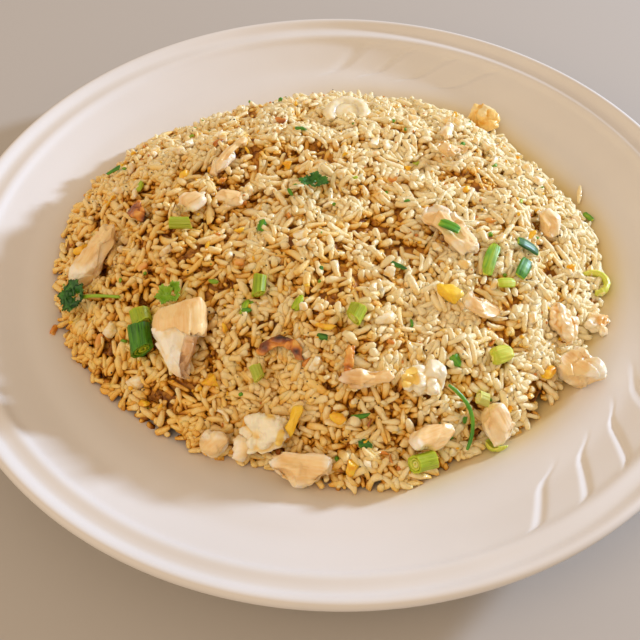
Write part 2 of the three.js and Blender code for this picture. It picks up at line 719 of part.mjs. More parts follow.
    shape: strip({ size: [9, 5.6, 1.5], arch: 0.5 }),
  },
  {
    name: 'scallion_right_pale', finish: SCALLION_PALE, at: [60, -30.6], turn: 12, lift: 1.1,
    shape: strip({ size: [7, 4.4, 1.6], arch: 0.4 }),
  },
  {
    name: 'scallion_half_ring', finish: SCALLION_PALE, at: [103.6, -8.2], turn: -72, lift: 2.2, lean: 20,
    shape: arc({ radius: 5, sweep: 220, wide: 2.8, thick: 3.6, steps: 8 }),
  },
  {
    name: 'scallion_rings_small', finish: SCALLION_PALE, at: [6.5, -53], turn: 60, lift: 1.2,
    shape: tube({ length: 4.6, outside: 6, bore: 3, sides: 8 }),
  },
  {
    name: 'scallion_stalk', finish: SCALLION_PALE, at: [57, -56], turn: 28, lift: 0.9,
    shape: chunk({ size: [8.6, 6.4, 5], boxy: 0.7, rough: 0.08, seed: 42 }),
  },
  {
    name: 'scallion_block', finish: SCALLION_PALE, at: [50.6, -70.8], turn: -8, lift: 1.5,
    shape: tube({ length: 5, outside: 4.6, bore: 2, sides: 8 }),
  },
  {
    name: 'scallion_bead', finish: SCALLION_PALE, at: [55.6, -80.6], turn: 10, lift: 1.4,
    shape: chunk({ size: [8.2, 6.4, 5.8], boxy: 0.9, rough: 0.05, seed: 44 }),
  },
  {
    name: 'scallion_front', finish: SCALLION_PALE, at: [29.4, -92], turn: 16, lift: 1.4,
    shape: tube({ length: 7.8, outside: 6, bore: 3, sides: 10 }),
  },
  {
    name: 'herb_stem', finish: SCALLION_DEEP, at: [45.5, -75.5], turn: -66, lift: 2.4,
    shape: strip({ size: [23, 1.7, 1.5], bow: 4.6, arch: 1.2, steps: 9, sides: 5 }),
  },
];

// Two scraps that have rolled off the heap and lie on the plate.
const LOOSE = [
  {
    name: 'loose_grain', finish: GRAIN, at: [101, 39.5], turn: 78, rise: 1.25,
    shape: strip({ size: [9.4, 2.3, 2.1], steps: 3, sides: 6, blunt: 0.5 }),
  },
  {
    name: 'loose_scallion', finish: SCALLION_DEEP, at: [103.2, 27.5], turn: -58, rise: 0.95,
    shape: strip({ size: [5.6, 2.8, 1.1], steps: 2, sides: 5, blunt: 0.9 }),
  },
];

// Small cuts fused to the rice, as [x, y, length, width, turn].
const FUSED_CUTS = [
  [-27, -14, 6, 3.6, 80], [-31, -47, 6, 3, 75], [-12.5, -48, 6.5, 3, 68], [-77, 17, 6, 3.6, 70],
  [-92, 38, 7, 3, 10], [11, -88, 5, 4, 20], [41, -62, 5, 3.6, -60], [9, -81, 6, 2.6, 8],
  [-58, 15, 5, 4, 30], [-88, 13, 6, 4, 60], [-41, -69.5, 6.5, 5, 45], [1.5, -82, 6, 5, -30],
  [6, -95, 6, 4.6, 70], [76, -56, 7, 4.6, 55], [-15, 40, 5, 3, 0], [62, 34, 5, 3, 20],
  [22, -30, 7, 3, -15], [-33, 8, 5, 4, 50], [30, 58, 5, 4, 0], [-70, -24, 5, 3.6, 20],
];

// A closed surface turned and moved to its place on the heap's face.
function placed({ shape, at: [x, y], turn, lift, lean = 0, pitch = 0 }) {
  const normal = heapNormal(x, y);
  const pose = new THREE.Quaternion().setFromUnitVectors(Z_AXIS, normal)
    .multiply(new THREE.Quaternion().setFromAxisAngle(Z_AXIS, radians(turn)))
    .multiply(new THREE.Quaternion().setFromEuler(new THREE.Euler(radians(lean), radians(pitch), 0)));
  const geometry = shape.clone().applyQuaternion(pose);
  const middle = new THREE.Vector3(x, y, heapFace(x, y)).addScaledVector(normal, lift);
  return geometry.translate(middle.x, middle.y, middle.z);
}

// What would dip into the plate is flattened against it, as soft food is.
function restOnPlate(geometry) {
  const { position } = geometry.attributes;
  for (let k = 0; k < position.count; k += 1) {
    const bed = plateFace(hypot(position.getX(k), position.getY(k))) + FIT_GAP;
    position.setZ(k, max(position.getZ(k), bed));
  }
  return geometry;
}

// ------------------------------------------------------------------------- assembly

function finished(name, geometry, { color, roughness }) {
  geometry.computeVertexNormals();
  const material = new THREE.MeshStandardMaterial({ color, roughness, metalness: 0 });
  const mesh = new THREE.Mesh(geometry, material);
  mesh.name = name;
  return mesh;
}

const dish = new THREE.Group();
dish.add(finished('plate', plateGeometry(), { color: 0xf3ede4, roughness: 0.15 }));

// A later topping gives way to the ones already laid, with the fit gap between them.
const laid = [];
for (const topping of TOPPINGS) {
  let solid = solidFrom(restOnPlate(placed(topping)));
  for (const earlier of laid) solid = solid.subtract(earlier.room);
  const geometry = geometryOf(solid);
  laid.push({ room: solidFrom(grown(geometry, FIT_GAP)), position: geometry.attributes.position });
  dish.add(finished(topping.name, geometry, topping.finish));
}

// The heap takes its small cuts, then gives each topping its pocket.
let rice = solidFrom(heapGeometry(laid));
FUSED_CUTS.forEach(([x, y, length, width, turn], seed) => {
  const shape = chunk({ size: [length, width, 2.6], detail: 0, seed });
  rice = rice.add(solidFrom(restOnPlate(placed({ shape, at: [x, y], turn, lift: 0.9 }))));
});
for (const { room } of laid) rice = rice.subtract(room);
dish.add(finished('rice', geometryOf(rice), { color: 0xe8d3a8, roughness: 0.4 }));

for (const scrap of LOOSE) {
  const [x, y] = scrap.at;
  const radius = hypot(x, y);
  const slope = (plateFace(radius + 3) - plateFace(radius - 3)) / 6;
  const normal = new THREE.Vector3((-slope * x) / radius, (-slope * y) / radius, 1).normalize();
  const pose = new THREE.Quaternion().setFromUnitVectors(Z_AXIS, normal)
    .multiply(new THREE.Quaternion().setFromAxisAngle(Z_AXIS, radians(scrap.turn)));
  const geometry = scrap.shape.applyQuaternion(pose);
  geometry.translate(x, y, plateFace(radius) + scrap.rise + FIT_GAP);
  dish.add(finished(scrap.name, restOnPlate(geometry), scrap.finish));
}

export default dish;
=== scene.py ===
"""Chicken and egg fried rice on a fluted porcelain plate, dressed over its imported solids.

Metres, +Z up. The plate stands on the table at Z = 0 with its middle at the origin, +X is to
the diner's right and -Y is towards the diner.
"""

import json
import math

import bpy
import numpy as np
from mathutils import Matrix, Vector
from mathutils.bvhtree import BVHTree

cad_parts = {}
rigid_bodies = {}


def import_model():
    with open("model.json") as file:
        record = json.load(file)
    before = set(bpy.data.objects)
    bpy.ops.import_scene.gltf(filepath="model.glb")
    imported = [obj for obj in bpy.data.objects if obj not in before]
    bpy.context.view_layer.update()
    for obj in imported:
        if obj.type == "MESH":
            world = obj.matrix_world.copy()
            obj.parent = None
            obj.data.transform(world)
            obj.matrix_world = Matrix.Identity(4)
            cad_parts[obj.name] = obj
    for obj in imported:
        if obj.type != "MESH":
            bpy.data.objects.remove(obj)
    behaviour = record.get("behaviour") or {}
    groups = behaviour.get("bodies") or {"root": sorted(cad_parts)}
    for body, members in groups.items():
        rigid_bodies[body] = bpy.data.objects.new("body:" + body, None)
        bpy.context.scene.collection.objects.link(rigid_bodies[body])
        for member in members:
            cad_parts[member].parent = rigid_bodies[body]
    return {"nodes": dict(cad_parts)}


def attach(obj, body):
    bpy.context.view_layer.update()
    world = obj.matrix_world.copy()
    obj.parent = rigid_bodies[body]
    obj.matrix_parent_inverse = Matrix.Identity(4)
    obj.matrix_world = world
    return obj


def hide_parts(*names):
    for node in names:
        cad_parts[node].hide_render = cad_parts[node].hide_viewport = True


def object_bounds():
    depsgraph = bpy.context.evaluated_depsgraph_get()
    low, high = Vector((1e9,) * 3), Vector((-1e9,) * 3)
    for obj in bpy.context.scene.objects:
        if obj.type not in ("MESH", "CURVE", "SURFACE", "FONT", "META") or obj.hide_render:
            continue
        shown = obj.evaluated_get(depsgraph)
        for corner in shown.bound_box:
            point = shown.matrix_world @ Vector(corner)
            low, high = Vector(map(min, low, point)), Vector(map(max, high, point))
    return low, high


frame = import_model()
cad_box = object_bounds()
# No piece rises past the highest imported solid.
HEAP_TOP = cad_box[1][2] - 0.0002
MM = 0.001


# ----------------------------------------------------------------------------- studio
# A pale matt table top, one cool low window-like light from the right and a little behind, and
# warm light from all round.
bpy.ops.object.select_all(action="DESELECT")
TABLE_HALF = 1.6
bpy.ops.mesh.primitive_plane_add(size=2 * TABLE_HALF, location=(0, 0, 0))
table = bpy.context.object
table.name = "table_top"
table_paint = bpy.data.materials.new("pale_table")
table_paint.use_nodes = True
table_base = table_paint.node_tree.nodes["Principled BSDF"]
table_base.inputs["Base Color"].default_value = (0.50, 0.47, 0.43, 1)
table_base.inputs["Roughness"].default_value = 0.7
table.data.materials.append(table_paint)


def soft_light(name, place, aim, width, power, colour):
    """A square lamp `width` metres across that looks at `aim`."""
    bpy.ops.object.light_add(type="AREA", location=place)
    lamp = bpy.context.object
    lamp.name = name
    lamp.data.size = width
    lamp.data.energy = power
    lamp.data.color = colour
    lamp.rotation_euler = (Vector(aim) - Vector(place)).to_track_quat("-Z", "Y").to_euler()


soft_light("window_light", (1.28, 0.65, 0.45), (0, 0, 0.02), 0.12, 28, (0.60, 0.75, 1.0))
soft_light("warm_fill", (-0.9, -0.9, 1.3), (0, 0, 0), 1.4, 9.5, (1.0, 0.76, 0.52))
world = bpy.data.worlds.new("studio_air")
bpy.context.scene.world = world
world.use_nodes = True
world.node_tree.nodes["Background"].inputs["Color"].default_value = (1.0, 0.80, 0.625, 1)
world.node_tree.nodes["Background"].inputs["Strength"].default_value = 0.615
bpy.context.scene.view_settings.view_transform = "Standard"

# The camera stands in front of the diner's edge and looks down on the dish at about 50 degrees.
CAMERA_PLACE = Vector((0.0, -0.2564, 0.2889))
CAMERA_AIM = Vector((-0.0054, -0.0405, 0.026))
CAMERA_LENS = 53.6
bpy.ops.object.camera_add(location=CAMERA_PLACE)
camera = bpy.context.object
camera.rotation_euler = (CAMERA_AIM - CAMERA_PLACE).to_track_quat("-Z", "Y").to_euler()
camera.data.lens = CAMERA_LENS
camera.data.sensor_width = 36
camera.data.clip_start = 0.01
bpy.context.scene.camera = camera


# ----------------------------------------------------------------------------- plate
# A dinner plate of warm white porcelain, pressed in a mould that leaves two groups of leaning
# flutes in the rim, with a rolled lip, a raised line inside it and a foot ring underneath.
FLUTE_INNER = 0.119
FLUTE_OUTER = 0.1348
FLUTE_DEPTH = 0.00088
FLUTE_PITCH = math.radians(8.6)
FLUTE_SWING = math.radians(6.9)
FLUTE_HOOK_IN = math.radians(4.5)
FLUTE_HOOK_OUT = math.radians(1.6)
FLUTE_GROUPS = (math.radians(90), math.radians(-30))
FLUTES_PER_GROUP = 4
FIRST_FLUTE_WIDTH = 1.6
LEAN_START = 0.088

# Radius and height of the section's stations in millimetres, from the middle of the face over
# the lip and back to the middle of the underside.
PLATE_SECTION = (
    (0, 7.0), (30, 7.0), (60, 7.0), (80, 7.0), (86, 7.1), (90, 7.4), (94, 8.0), (98, 8.9), (102, 10.1),
    (106, 11.7), (110, 13.3), (113, 14.4), (116, 15.1), (118, 15.6), (120, 16.0), (122, 16.7), (124, 17.5),
    (126, 18.4), (128, 19.3), (130, 20.2), (131.6, 20.9), (132.8, 21.45), (133.7, 21.95), (134.4, 22.5),
    (135.1, 23.15), (135.8, 23.7), (136.5, 24.05), (137.2, 24.2), (138, 24.2), (138.9, 24.12), (139.8, 24.1),
    (140.7, 24.15), (141.5, 24.3), (142.2, 24.65), (142.9, 25.2), (143.6, 25.8), (144.3, 26.35), (145, 26.75),
    (145.7, 26.9), (146.4, 26.75), (147, 26.3), (147.4, 25.6),
    (147.55, 24.7), (147.2, 24.0), (146.2, 23.4), (143, 22.3), (138, 20.2), (130, 16.2), (120, 11.6), (109, 7.5),
    (98, 4.2), (90, 2.9), (87.4, 2.4), (86.4, 1.2), (85.6, 0.2), (84.8, 0.0), (80.6, 0.0), (79.8, 0.2),
    (79, 1.2), (78, 2.4), (74, 2.5), (40, 2.5), (0, 2.5),
)
PLATE_STEPS = 1080
# Radii and heights of a line inside the wall, which parts the face from the underside.
WALL_MIDDLE = ((0, 0.098, 0.138, 0.1476), (0.004, 0.006, 0.0222, 0.0247))


def only(*things):
    """Selects these objects alone, the last one active."""
    bpy.ops.object.select_all(action="DESELECT")
    for thing in things:
        thing.select_set(True)
    bpy.context.view_layer.objects.active = things[-1]


def apply_modifier(thing, kind, **settings):
    """Adds one modifier with its settings and applies it."""
    only(thing)
    modifier = thing.modifiers.new(kind.lower(), kind)
    for key, value in settings.items():
        setattr(modifier, key, value)
    bpy.ops.object.modifier_apply(modifier=modifier.name)


def smooth(piece):
    """Shades the piece without edges."""
    only(piece)
    bpy.ops.object.shade_smooth()


def vertex_places(thing):
    """The mesh's vertices as rows of x, y, z."""
    places = np.empty(len(thing.data.vertices) * 3)
    thing.data.vertices.foreach_get("co", places)
    return places.reshape(-1, 3)


def move_vertices(thing, places):
    """Puts the mesh's vertices at these rows of x, y, z."""
    thing.data.vertices.foreach_set("co", np.ascontiguousarray(places, dtype=np.float32).ravel())
    thing.data.update()


def smoothstep(low, high, value):
    """0 below `low`, 1 above `high`, with soft ends."""
    share = np.clip((value - low) / (high - low), 0, 1)
    return share * share * (3 - 2 * share)


class Wire:
    """One output of a shader node, which can stand in a Python sum."""

    def __init__(self, finish, socket):
        self.finish = finish
        self.socket = socket

    def _maths(self, operation, first, second):
        return self.finish.node("ShaderNodeMath", {"operation": operation}, {0: first, 1: second})

    def __add__(self, other):
        return self._maths("ADD", self, other)

    def __radd__(self, other):
        return self._maths("ADD", other, self)

    def __sub__(self, other):
        return self._maths("SUBTRACT", self, other)

    def __rsub__(self, other):
        return self._maths("SUBTRACT", other, self)

    def __mul__(self, other):
        return self._maths("MULTIPLY", self, other)

    def __rmul__(self, other):
        return self._maths("MULTIPLY", other, self)


class Finish:
    """A material under construction."""

    def __init__(self, name, **constants):
        self.material = bpy.data.materials.new(name)
        self.material.use_nodes = True
        self.tree = self.material.node_tree
        self.base = self.tree.nodes["Principled BSDF"]
        for key, value in constants.items():
            self.base.inputs[key.replace("_", " ")].default_value = value

    def node(self, kind, settings=None, inputs=None, out=0):
        """Adds one node: its settings first, then the values or links of its sockets."""
        made = self.tree.nodes.new(kind)
        for key, value in (settings or {}).items():
            if key == "stops":
                ramp = made.color_ramp
                while len(ramp.elements) < len(value):
                    ramp.elements.new(0.5)
                for element, (place, colour) in zip(ramp.elements, value):
                    element.position = place
                    element.color = (*colour, 1)
            else:
                setattr(made, key, value)
        for key, value in (inputs or {}).items():
            self.link(value, made.inputs[key])
        return Wire(self, made.outputs[out])

    def link(self, value, socket):
        """Feeds a wire or a plain value to a socket."""
        if isinstance(value, Wire):
            self.tree.links.new(value.socket, socket)
        else:
            socket.default_value = value

    def marked(self, name, out="Fac"):
        """What the piece's mesh keeps under this name."""
        return self.node("ShaderNodeAttribute", {"attribute_name": name}, out=out)

    def grain(self, size, detail=3.0):
        """Soft noise between 0 and 1 with lumps about `size` metres across."""
        inputs = {
            "Vector": self.node("ShaderNodeTexCoord", out="Object"), "Scale": 1 / size, "Detail": detail,
            "Roughness": 0.55,
        }
        return self.node("ShaderNodeTexNoise", None, inputs, out="Fac")

    def strands(self, stretch, scale, detail):
        """Noise drawn out into strands along the piece."""
        place = self.marked("own", "Vector")
        drawn = self.node("ShaderNodeMapping", None, {"Vector": place, "Scale": (stretch, 1, 1)})
        inputs = {"Vector": drawn, "Scale": scale, "Detail": detail}
        return self.node("ShaderNodeTexNoise", None, inputs, out="Fac")

    def step(self, value, low, high):
        """0 below `low`, 1 above `high`, softly between."""
        return self.node(
            "ShaderNodeMapRange", {"interpolation_type": "SMOOTHSTEP"},
            {"Value": value, "From Min": low, "From Max": high, "To Min": 0.0, "To Max": 1.0},
        )

    def mix(self, share, first, second):
        """A colour between `first` and `second`, which are colours or wires."""
        pair = [(*c, 1) if isinstance(c, tuple) else c for c in (first, second)]
        inputs = {"Factor": share, 6: pair[0], 7: pair[1]}
        return self.node("ShaderNodeMix", {"data_type": "RGBA"}, inputs, out=2)

    def ramp(self, value, *stops):
        """A colour read off a row of (place, colour) stops."""
        return self.node("ShaderNodeValToRGB", {"stops": stops}, {"Fac": value})

    def paint(self, colour):
        """Sets the colour of the surface."""
        self.link(colour, self.base.inputs["Base Color"])

    def bump(self, height, strength, distance):
        """Relief that the eye reads but the mesh leaves out."""
        inputs = {"Height": height, "Strength": strength, "Distance": distance}
        self.link(self.node("ShaderNodeBump", None, inputs), self.base.inputs["Normal"])


def seat(piece, finish, name, slot, *nodes):
    """Finishes and names a piece, keeps it under HEAP_TOP and ties it to its own solids."""
    piece.data.materials.clear()
    piece.data.materials.append(finish.material)
    piece.name = name
    places = vertex_places(piece)
    if places[:, 2].max() > HEAP_TOP:
        places[:, 2] = np.minimum(places[:, 2], HEAP_TOP)
        move_vertices(piece, places)
    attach(piece, "root")
    if nodes:
        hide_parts(*nodes)


def plate_shell():
    """The section drawn as a line of vertices and spun round the axis."""
    bpy.ops.mesh.primitive_plane_add(size=0.01)
    shell = bpy.context.object
    bpy.ops.object.mode_set(mode="EDIT")
    bpy.ops.mesh.merge(type="CENTER")
    before = Vector((0, 0, 0))
    for radius, height in PLATE_SECTION:
        station = Vector((radius * MM, 0, height * MM))
        if before.length == 0:
            bpy.ops.transform.translate(value=station)
        else:
            bpy.ops.mesh.extrude_region_move(TRANSFORM_OT_translate={"value": station - before})
        before = station
    bpy.ops.mesh.select_all(action="SELECT")
    bpy.ops.mesh.spin(steps=PLATE_STEPS, angle=2 * math.pi, center=(0, 0, 0), axis=(0, 0, 1))
    bpy.ops.mesh.select_all(action="SELECT")
    bpy.ops.mesh.remove_doubles(threshold=1e-6)
    bpy.ops.mesh.normals_make_consistent(inside=False)
    bpy.ops.object.mode_set(mode="OBJECT")
    return shell


def press_flutes(shell):
    """Leans the rim's columns with the flute edges and sinks a soft valley along each of them."""
    places = vertex_places(shell)
    radius = np.hypot(places[:, 0], places[:, 1])
    column = np.arctan2(places[:, 1], places[:, 0])
    face = places[:, 2] > np.interp(radius, *WALL_MIDDLE)
    along = (radius - FLUTE_INNER) / (FLUTE_OUTER - FLUTE_INNER)
    # Each edge leans evenly, and hooks along the rim at both of its ends.
    hook_in = FLUTE_HOOK_IN * np.clip((0.16 - along) / 0.28, 0, 1) ** 2
    hook_out = FLUTE_HOOK_OUT * np.clip((along - 0.86) / 0.16, 0, 1) ** 2
    lean = -FLUTE_SWING * np.clip(along, 0, 1) + hook_in - hook_out
    sunk = np.zeros(len(places))
    for first in FLUTE_GROUPS:
        for k in range(FLUTES_PER_GROUP):
            edge = first - k * FLUTE_PITCH
            past = np.mod(column - edge + 0.2, 2 * math.pi) - 0.2
            across = past / (FLUTE_PITCH * (FIRST_FLUTE_WIDTH if k == 0 else 1.0))
            # A steep side falls to the valley, and a shallow panel rises from it to the next edge.
            side = smoothstep(-0.09, 0.12, across)
            valley = 0.72 * np.exp(-((np.clip(across - 0.10, 0, 9) / 0.10) ** 2))
            panel = 0.28 * np.clip(1 - across, 0, 1) ** 1.3
            inner_end = smoothstep(-0.14, 0.22, along)
            outer_end = 1 - smoothstep(0.90, 1.0, along + 0.10 * np.clip(across, 0, 1) ** 2)
            sunk = np.maximum(sunk, np.where(across < 1, side * (valley + panel) * inner_end * outer_end, 0))
    places[:, 2] -= np.where(face, FLUTE_DEPTH * sunk, 0)
    lean_inside = lean[np.argmin(np.abs(radius - LEAN_START))]
    turned = column + np.where(radius > LEAN_START, lean, lean_inside)
    places[:, 0] = radius * np.cos(turned)
    places[:, 1] = radius * np.sin(turned)
    move_vertices(shell, places)


plate = plate_shell()
press_flutes(plate)
smooth(plate)
porcelain = Finish("porcelain_glaze", Roughness=0.55, Coat_Weight=0.08, Coat_Roughness=0.3, IOR=1.5)
cloudy = porcelain.step(porcelain.grain(0.07), 0.3, 0.7)
glaze = porcelain.mix(cloudy, (0.735, 0.705, 0.665), (0.77, 0.742, 0.705))
# Round the heap the glaze is tinted amber: oil, and painted amber light thrown off the rice.
porcelain.paint(porcelain.mix(porcelain.marked("oily"), glaze, (0.68, 0.51, 0.17)))
porcelain.bump(porcelain.grain(0.012, detail=1), 0.12, 0.0004)
seat(plate, porcelain, "porcelain_plate", "porcelain", "plate")


# ----------------------------------------------------------------------------- rice bed
# Under the grains that show lies the imported mass of the heap. It is seen only in the gaps, so
# it is a lumpy body a little inside the heap's skin, painted dark amber as the shade between grains.
GRAIN_LAYER = 0.0058
BED_DEPTH = 0.0034
BED_FLOOR = 0.0076
HOLLOW_DEPTH = 0.0036
MOST_OIL_AND_BOUNCE = 0.9


def merged_copy(node):
    """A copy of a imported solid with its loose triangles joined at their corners."""
    only(node)
    bpy.ops.object.duplicate()
    copy = bpy.context.object
    copy.parent = None
    for key in [key for key in copy.keys() if key.startswith("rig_")]:
        del copy[key]
    bpy.ops.object.mode_set(mode="EDIT")
    bpy.ops.mesh.select_all(action="SELECT")
    bpy.ops.mesh.remove_doubles(threshold=2e-6)
    bpy.ops.object.mode_set(mode="OBJECT")
    return copy


def soft_noise(places, size, seed=0):
    """Smooth unevenness between -1 and 1 in space, with lumps `size` across."""
    cell = places / size + seed * 17.37
    base = np.floor(cell)
    share = cell - base
    share = share * share * (3 - 2 * share)
    total = np.zeros(len(places))
    for corner in np.ndindex(2, 2, 2):
        mixed = np.sin((base + corner) @ np.array([127.1, 311.7, 74.7])) * 43758.5453
        weight = np.prod(np.where(np.array(corner) == 1, share, 1 - share), axis=1)
        total += weight * ((mixed - np.floor(mixed)) * 2 - 1)
    return total


# Maps of heights on a square grid of points seen from above, by which the small cuts and the
# grains of rice are laid.
MAP_STEP = 0.0015
MAP_HALF = 0.126
MAP_LINES = np.arange(-MAP_HALF, MAP_HALF + MAP_STEP / 2, MAP_STEP)


def height_map(node):
    """Heights of a solid's topmost face under the grid, by rays from above."""
    mesh = node.data
    tree = BVHTree.FromPolygons([v.co for v in mesh.vertices], [tuple(p.vertices) for p in mesh.polygons])
    heights = np.full((len(MAP_LINES), len(MAP_LINES)), -1.0)
    for i, x in enumerate(MAP_LINES):
        for j, y in enumerate(MAP_LINES):
            spot = tree.ray_cast(Vector((x, y, 0.2)), Vector((0, 0, -1)))[0]
            if spot is not None:
                heights[i, j] = spot.z
    return heights


def blur(grid, rounds):
    """The grid with each value drawn towards its neighbours."""
    for _ in range(rounds):
        around = np.pad(grid, 1, mode="edge")
        sides = around[:-2, 1:-1] + around[2:, 1:-1] + around[1:-1, :-2] + around[1:-1, 2:]
        grid = grid / 2 + sides / 8
    return grid


def read_map(grid, x, y):
    """The grid's value at each place, between its points."""
    u = np.clip((x + MAP_HALF) / MAP_STEP, 0, grid.shape[0] - 1.001)
    v = np.clip((y + MAP_HALF) / MAP_STEP, 0, grid.shape[1] - 1.001)
    i, j = u.astype(int), v.astype(int)
    fu, fv = u - i, v - j
    near = grid[i, j] * (1 - fu) + grid[i + 1, j] * fu
    far = grid[i, j + 1] * (1 - fu) + grid[i + 1, j + 1] * fu
    return near * (1 - fv) + far * fv


def map_cells(places, margin):
    """The grid's row and column nearest to each place, at least `margin` from its border."""
    cells = ((places[:, :2] + MAP_HALF) / MAP_STEP).round().astype(int)
    return cells.clip(margin, len(MAP_LINES) - 1 - margin).T


def normals_of(slopes, x, y):
    """Upward directions square to a map, from its two slope grids."""
    normal = np.stack([-read_map(slopes[0], x, y), -read_map(slopes[1], x, y), np.ones(len(x))], 1)
    return normal / np.linalg.norm(normal, axis=1)[:, None]


def mark(piece, name, values):
    """Keeps one number for each vertex, for the finish to read."""
    kept = piece.data.attributes.new(name, "FLOAT", "POINT")
    kept.data.foreach_set("value", np.ascontiguousarray(values, dtype=np.float32))


toppings = [node for name, node in frame["nodes"].items() if name not in ("plate", "rice")]
plate_map = height_map(frame["nodes"]["plate"])
rice_map = height_map(frame["nodes"]["rice"])
on_heap = rice_map > 0
heap_share = np.where(on_heap, 1.0, 0.0)
skin_map = blur(np.where(on_heap, rice_map, plate_map), 5)
skin_slopes = np.gradient(skin_map, MAP_STEP)

# The heap's face is uneven: the rice lies in lumps with hollows between them. The hollows stay
# clear of the toppings, which keep the rice they are bedded in, and of the heap's edge.
grid_x, grid_y = np.meshgrid(MAP_LINES, MAP_LINES, indexing="ij")
grid = np.stack([grid_x.ravel(), grid_y.ravel(), np.zeros(grid_x.size)], 1)
lumps = 0.7 * soft_noise(grid, 0.016, 3) + 0.55 * soft_noise(grid, 0.0085, 4)
hollow_map = HOLLOW_DEPTH * smoothstep(-0.15, 0.65, lumps).reshape(grid_x.shape)
topping_map = np.zeros_like(skin_map)
for node in toppings:
    topping_map[tuple(map_cells(vertex_places(node), 0))] = 1
hollow_map *= 1 - 0.8 * smoothstep(0.05, 0.45, blur(topping_map, 6))
edge_share = blur(heap_share, 24)
hollow_map *= smoothstep(0.75, 0.98, edge_share)
ripples = (0.0009 * soft_noise(grid, 0.0055, 8)).reshape(grid_x.shape)
face_map = skin_map - hollow_map + ripples * smoothstep(0.6, 0.9, edge_share)

# Oil from the rice wets the plate round the heap, most of all on the right, where its amber is also painted light
# thrown off the lit rice.
plate_places = vertex_places(plate)
oil_and_bounce = read_map(blur(heap_share, 120), plate_places[:, 0], plate_places[:, 1]) * (plate_places[:, 2] > 0.006)
oil_and_bounce = smoothstep(0.01, 0.5, oil_and_bounce) * (0.38 + 8.0 * plate_places[:, 0].clip(-0.03, 0.10))
mark(plate, "oily", oil_and_bounce.clip(0, MOST_OIL_AND_BOUNCE))

bed = merged_copy(frame["nodes"]["rice"])
apply_modifier(bed, "REMESH", mode="VOXEL", voxel_size=0.0016)
apply_modifier(bed, "SMOOTH", factor=0.5, iterations=6)
apply_modifier(bed, "DISPLACE", strength=-BED_DEPTH, mid_level=0, direction="NORMAL")
bed_places = vertex_places(bed)
bed_places[:, 2] -= read_map(hollow_map, bed_places[:, 0], bed_places[:, 1])
bed_places[:, 2] = np.maximum(bed_places[:, 2], BED_FLOOR)
move_vertices(bed, bed_places)
smooth(bed)
bed_finish = Finish("packed_rice_painted_gap_shade", Roughness=0.6)
# Its mottled dark amber is painted shade between the grains.
gap_shade_mottle = bed_finish.step(bed_finish.grain(0.003), 0.35, 0.65)
bed_finish.paint(bed_finish.mix(gap_shade_mottle, (0.20, 0.060, 0.003), (0.58, 0.25, 0.020)))
bed_finish.bump(bed_finish.grain(0.0024, detail=2), 0.9, 0.0012)
seat(bed, bed_finish, "rice_bed", "rice", "rice")


# ----------------------------------------------------------------------------- chicken
# Poached and stir-fried breast, sliced and torn by hand: matt beige outside, nearly white and
# moist where it is torn, with fine fibres along each piece and flat facets where the knife went.
# The near white of the torn parts and the rims is partly painted highlight.
CHICKEN = (
    "chicken_large", "chicken_left", "chicken_back_left", "chicken_mid_left", "chicken_front_left",
    "chicken_front_left_small", "chicken_front", "chicken_right", "chicken_front_right", "chicken_front_middle",
    "chicken_slice", "chicken_right_middle", "chicken_back", "chicken_back_right", "chicken_middle", "chicken_slab",
    "chicken_back_sliver",
)


def crinkle(places, size, seed=0):
    """Sharp folds: 0 in the creases, rising to 1 between them."""
    return np.minimum(np.abs(soft_noise(places, size, seed)) * 2.4, 1)


def flakes(places, size, seed=0):
    """Flat flakes about `size` across: how high each place stands on its own tilted flake, -1 to 1."""
    cell = places / size
    base = np.floor(cell)
    nearest = np.full(len(places), 9.0)
    height = np.zeros(len(places))
    ways = ((127.1, 311.7, 74.7), (269.5, 183.3, 246.1), (113.5, 271.9, 124.6))
    for corner in np.ndindex(3, 3, 3):
        home = base + np.array(corner) - 1
        chance = np.stack([np.mod(np.sin(home @ np.array(way) + seed) * 43758.5453, 1) for way in ways], 1)
        away = cell - home - chance
        far = np.linalg.norm(away, axis=1)
        tilted = (away * (2 * chance[:, ::-1] - 1)).sum(1) + chance[:, 0] - 0.5
        height = np.where(far < nearest, tilted, height)
        nearest = np.minimum(nearest, far)
    return height


def own_frame(places):
    """Middle, axes (long, wide, thick) and half sizes of a cloud of points."""
    middle = places.mean(0)
    _, axes = np.linalg.eigh(np.cov((places - middle).T))
    axes = axes.T[::-1].copy()
    if axes[0][0] < 0:
        axes[0] *= -1
    if axes[2][2] < 0:
        axes[2] *= -1
    axes[1] = np.cross(axes[2], axes[0])
    spread = (places - middle) @ axes.T
    low, high = spread.min(0), spread.max(0)
    return middle + ((low + high) / 2) @ axes, axes, (high - low) / 2


def normals_at(piece):
    """The mesh's vertex normals as rows of x, y, z."""
    normals = np.empty(len(piece.data.vertices) * 3)
    piece.data.vertices.foreach_get("normal", normals)
    return normals.reshape(-1, 3)


def raise_face(piece, places, relief):
    """Puts the vertices at `places`, each lifted along its normal by its relief."""
    move_vertices(piece, places + normals_at(piece) * relief[:, None])


def mark_own(piece, own):
    """Keeps each vertex's place along, across and through the piece."""
    kept = piece.data.attributes.new("own", "FLOAT_VECTOR", "POINT")
    kept.data.foreach_set("vector", np.ascontiguousarray(own, dtype=np.float32).ravel())


def fine_copy(name, cell, rounding):
    """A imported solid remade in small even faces, with its corners rounded off."""
    piece = merged_copy(frame["nodes"][name])
    apply_modifier(piece, "REMESH", mode="VOXEL", voxel_size=cell)
    apply_modifier(piece, "SMOOTH", factor=0.5, iterations=rounding)
    return piece


def sliced(places, middle, seed, cuts, deepest):
    """The places with the piece's bulges cut off flat, in a few chance directions."""
    knife = np.random.default_rng(seed)
    for _ in range(cuts):
        way = knife.normal(size=3)
        way /= np.linalg.norm(way)
        out = (places - middle) @ way
        limit = out.max() - knife.uniform(0.3, 1) * deepest
        places = places - way * (0.94 * np.maximum(out - limit, 0))[:, None]
    return places


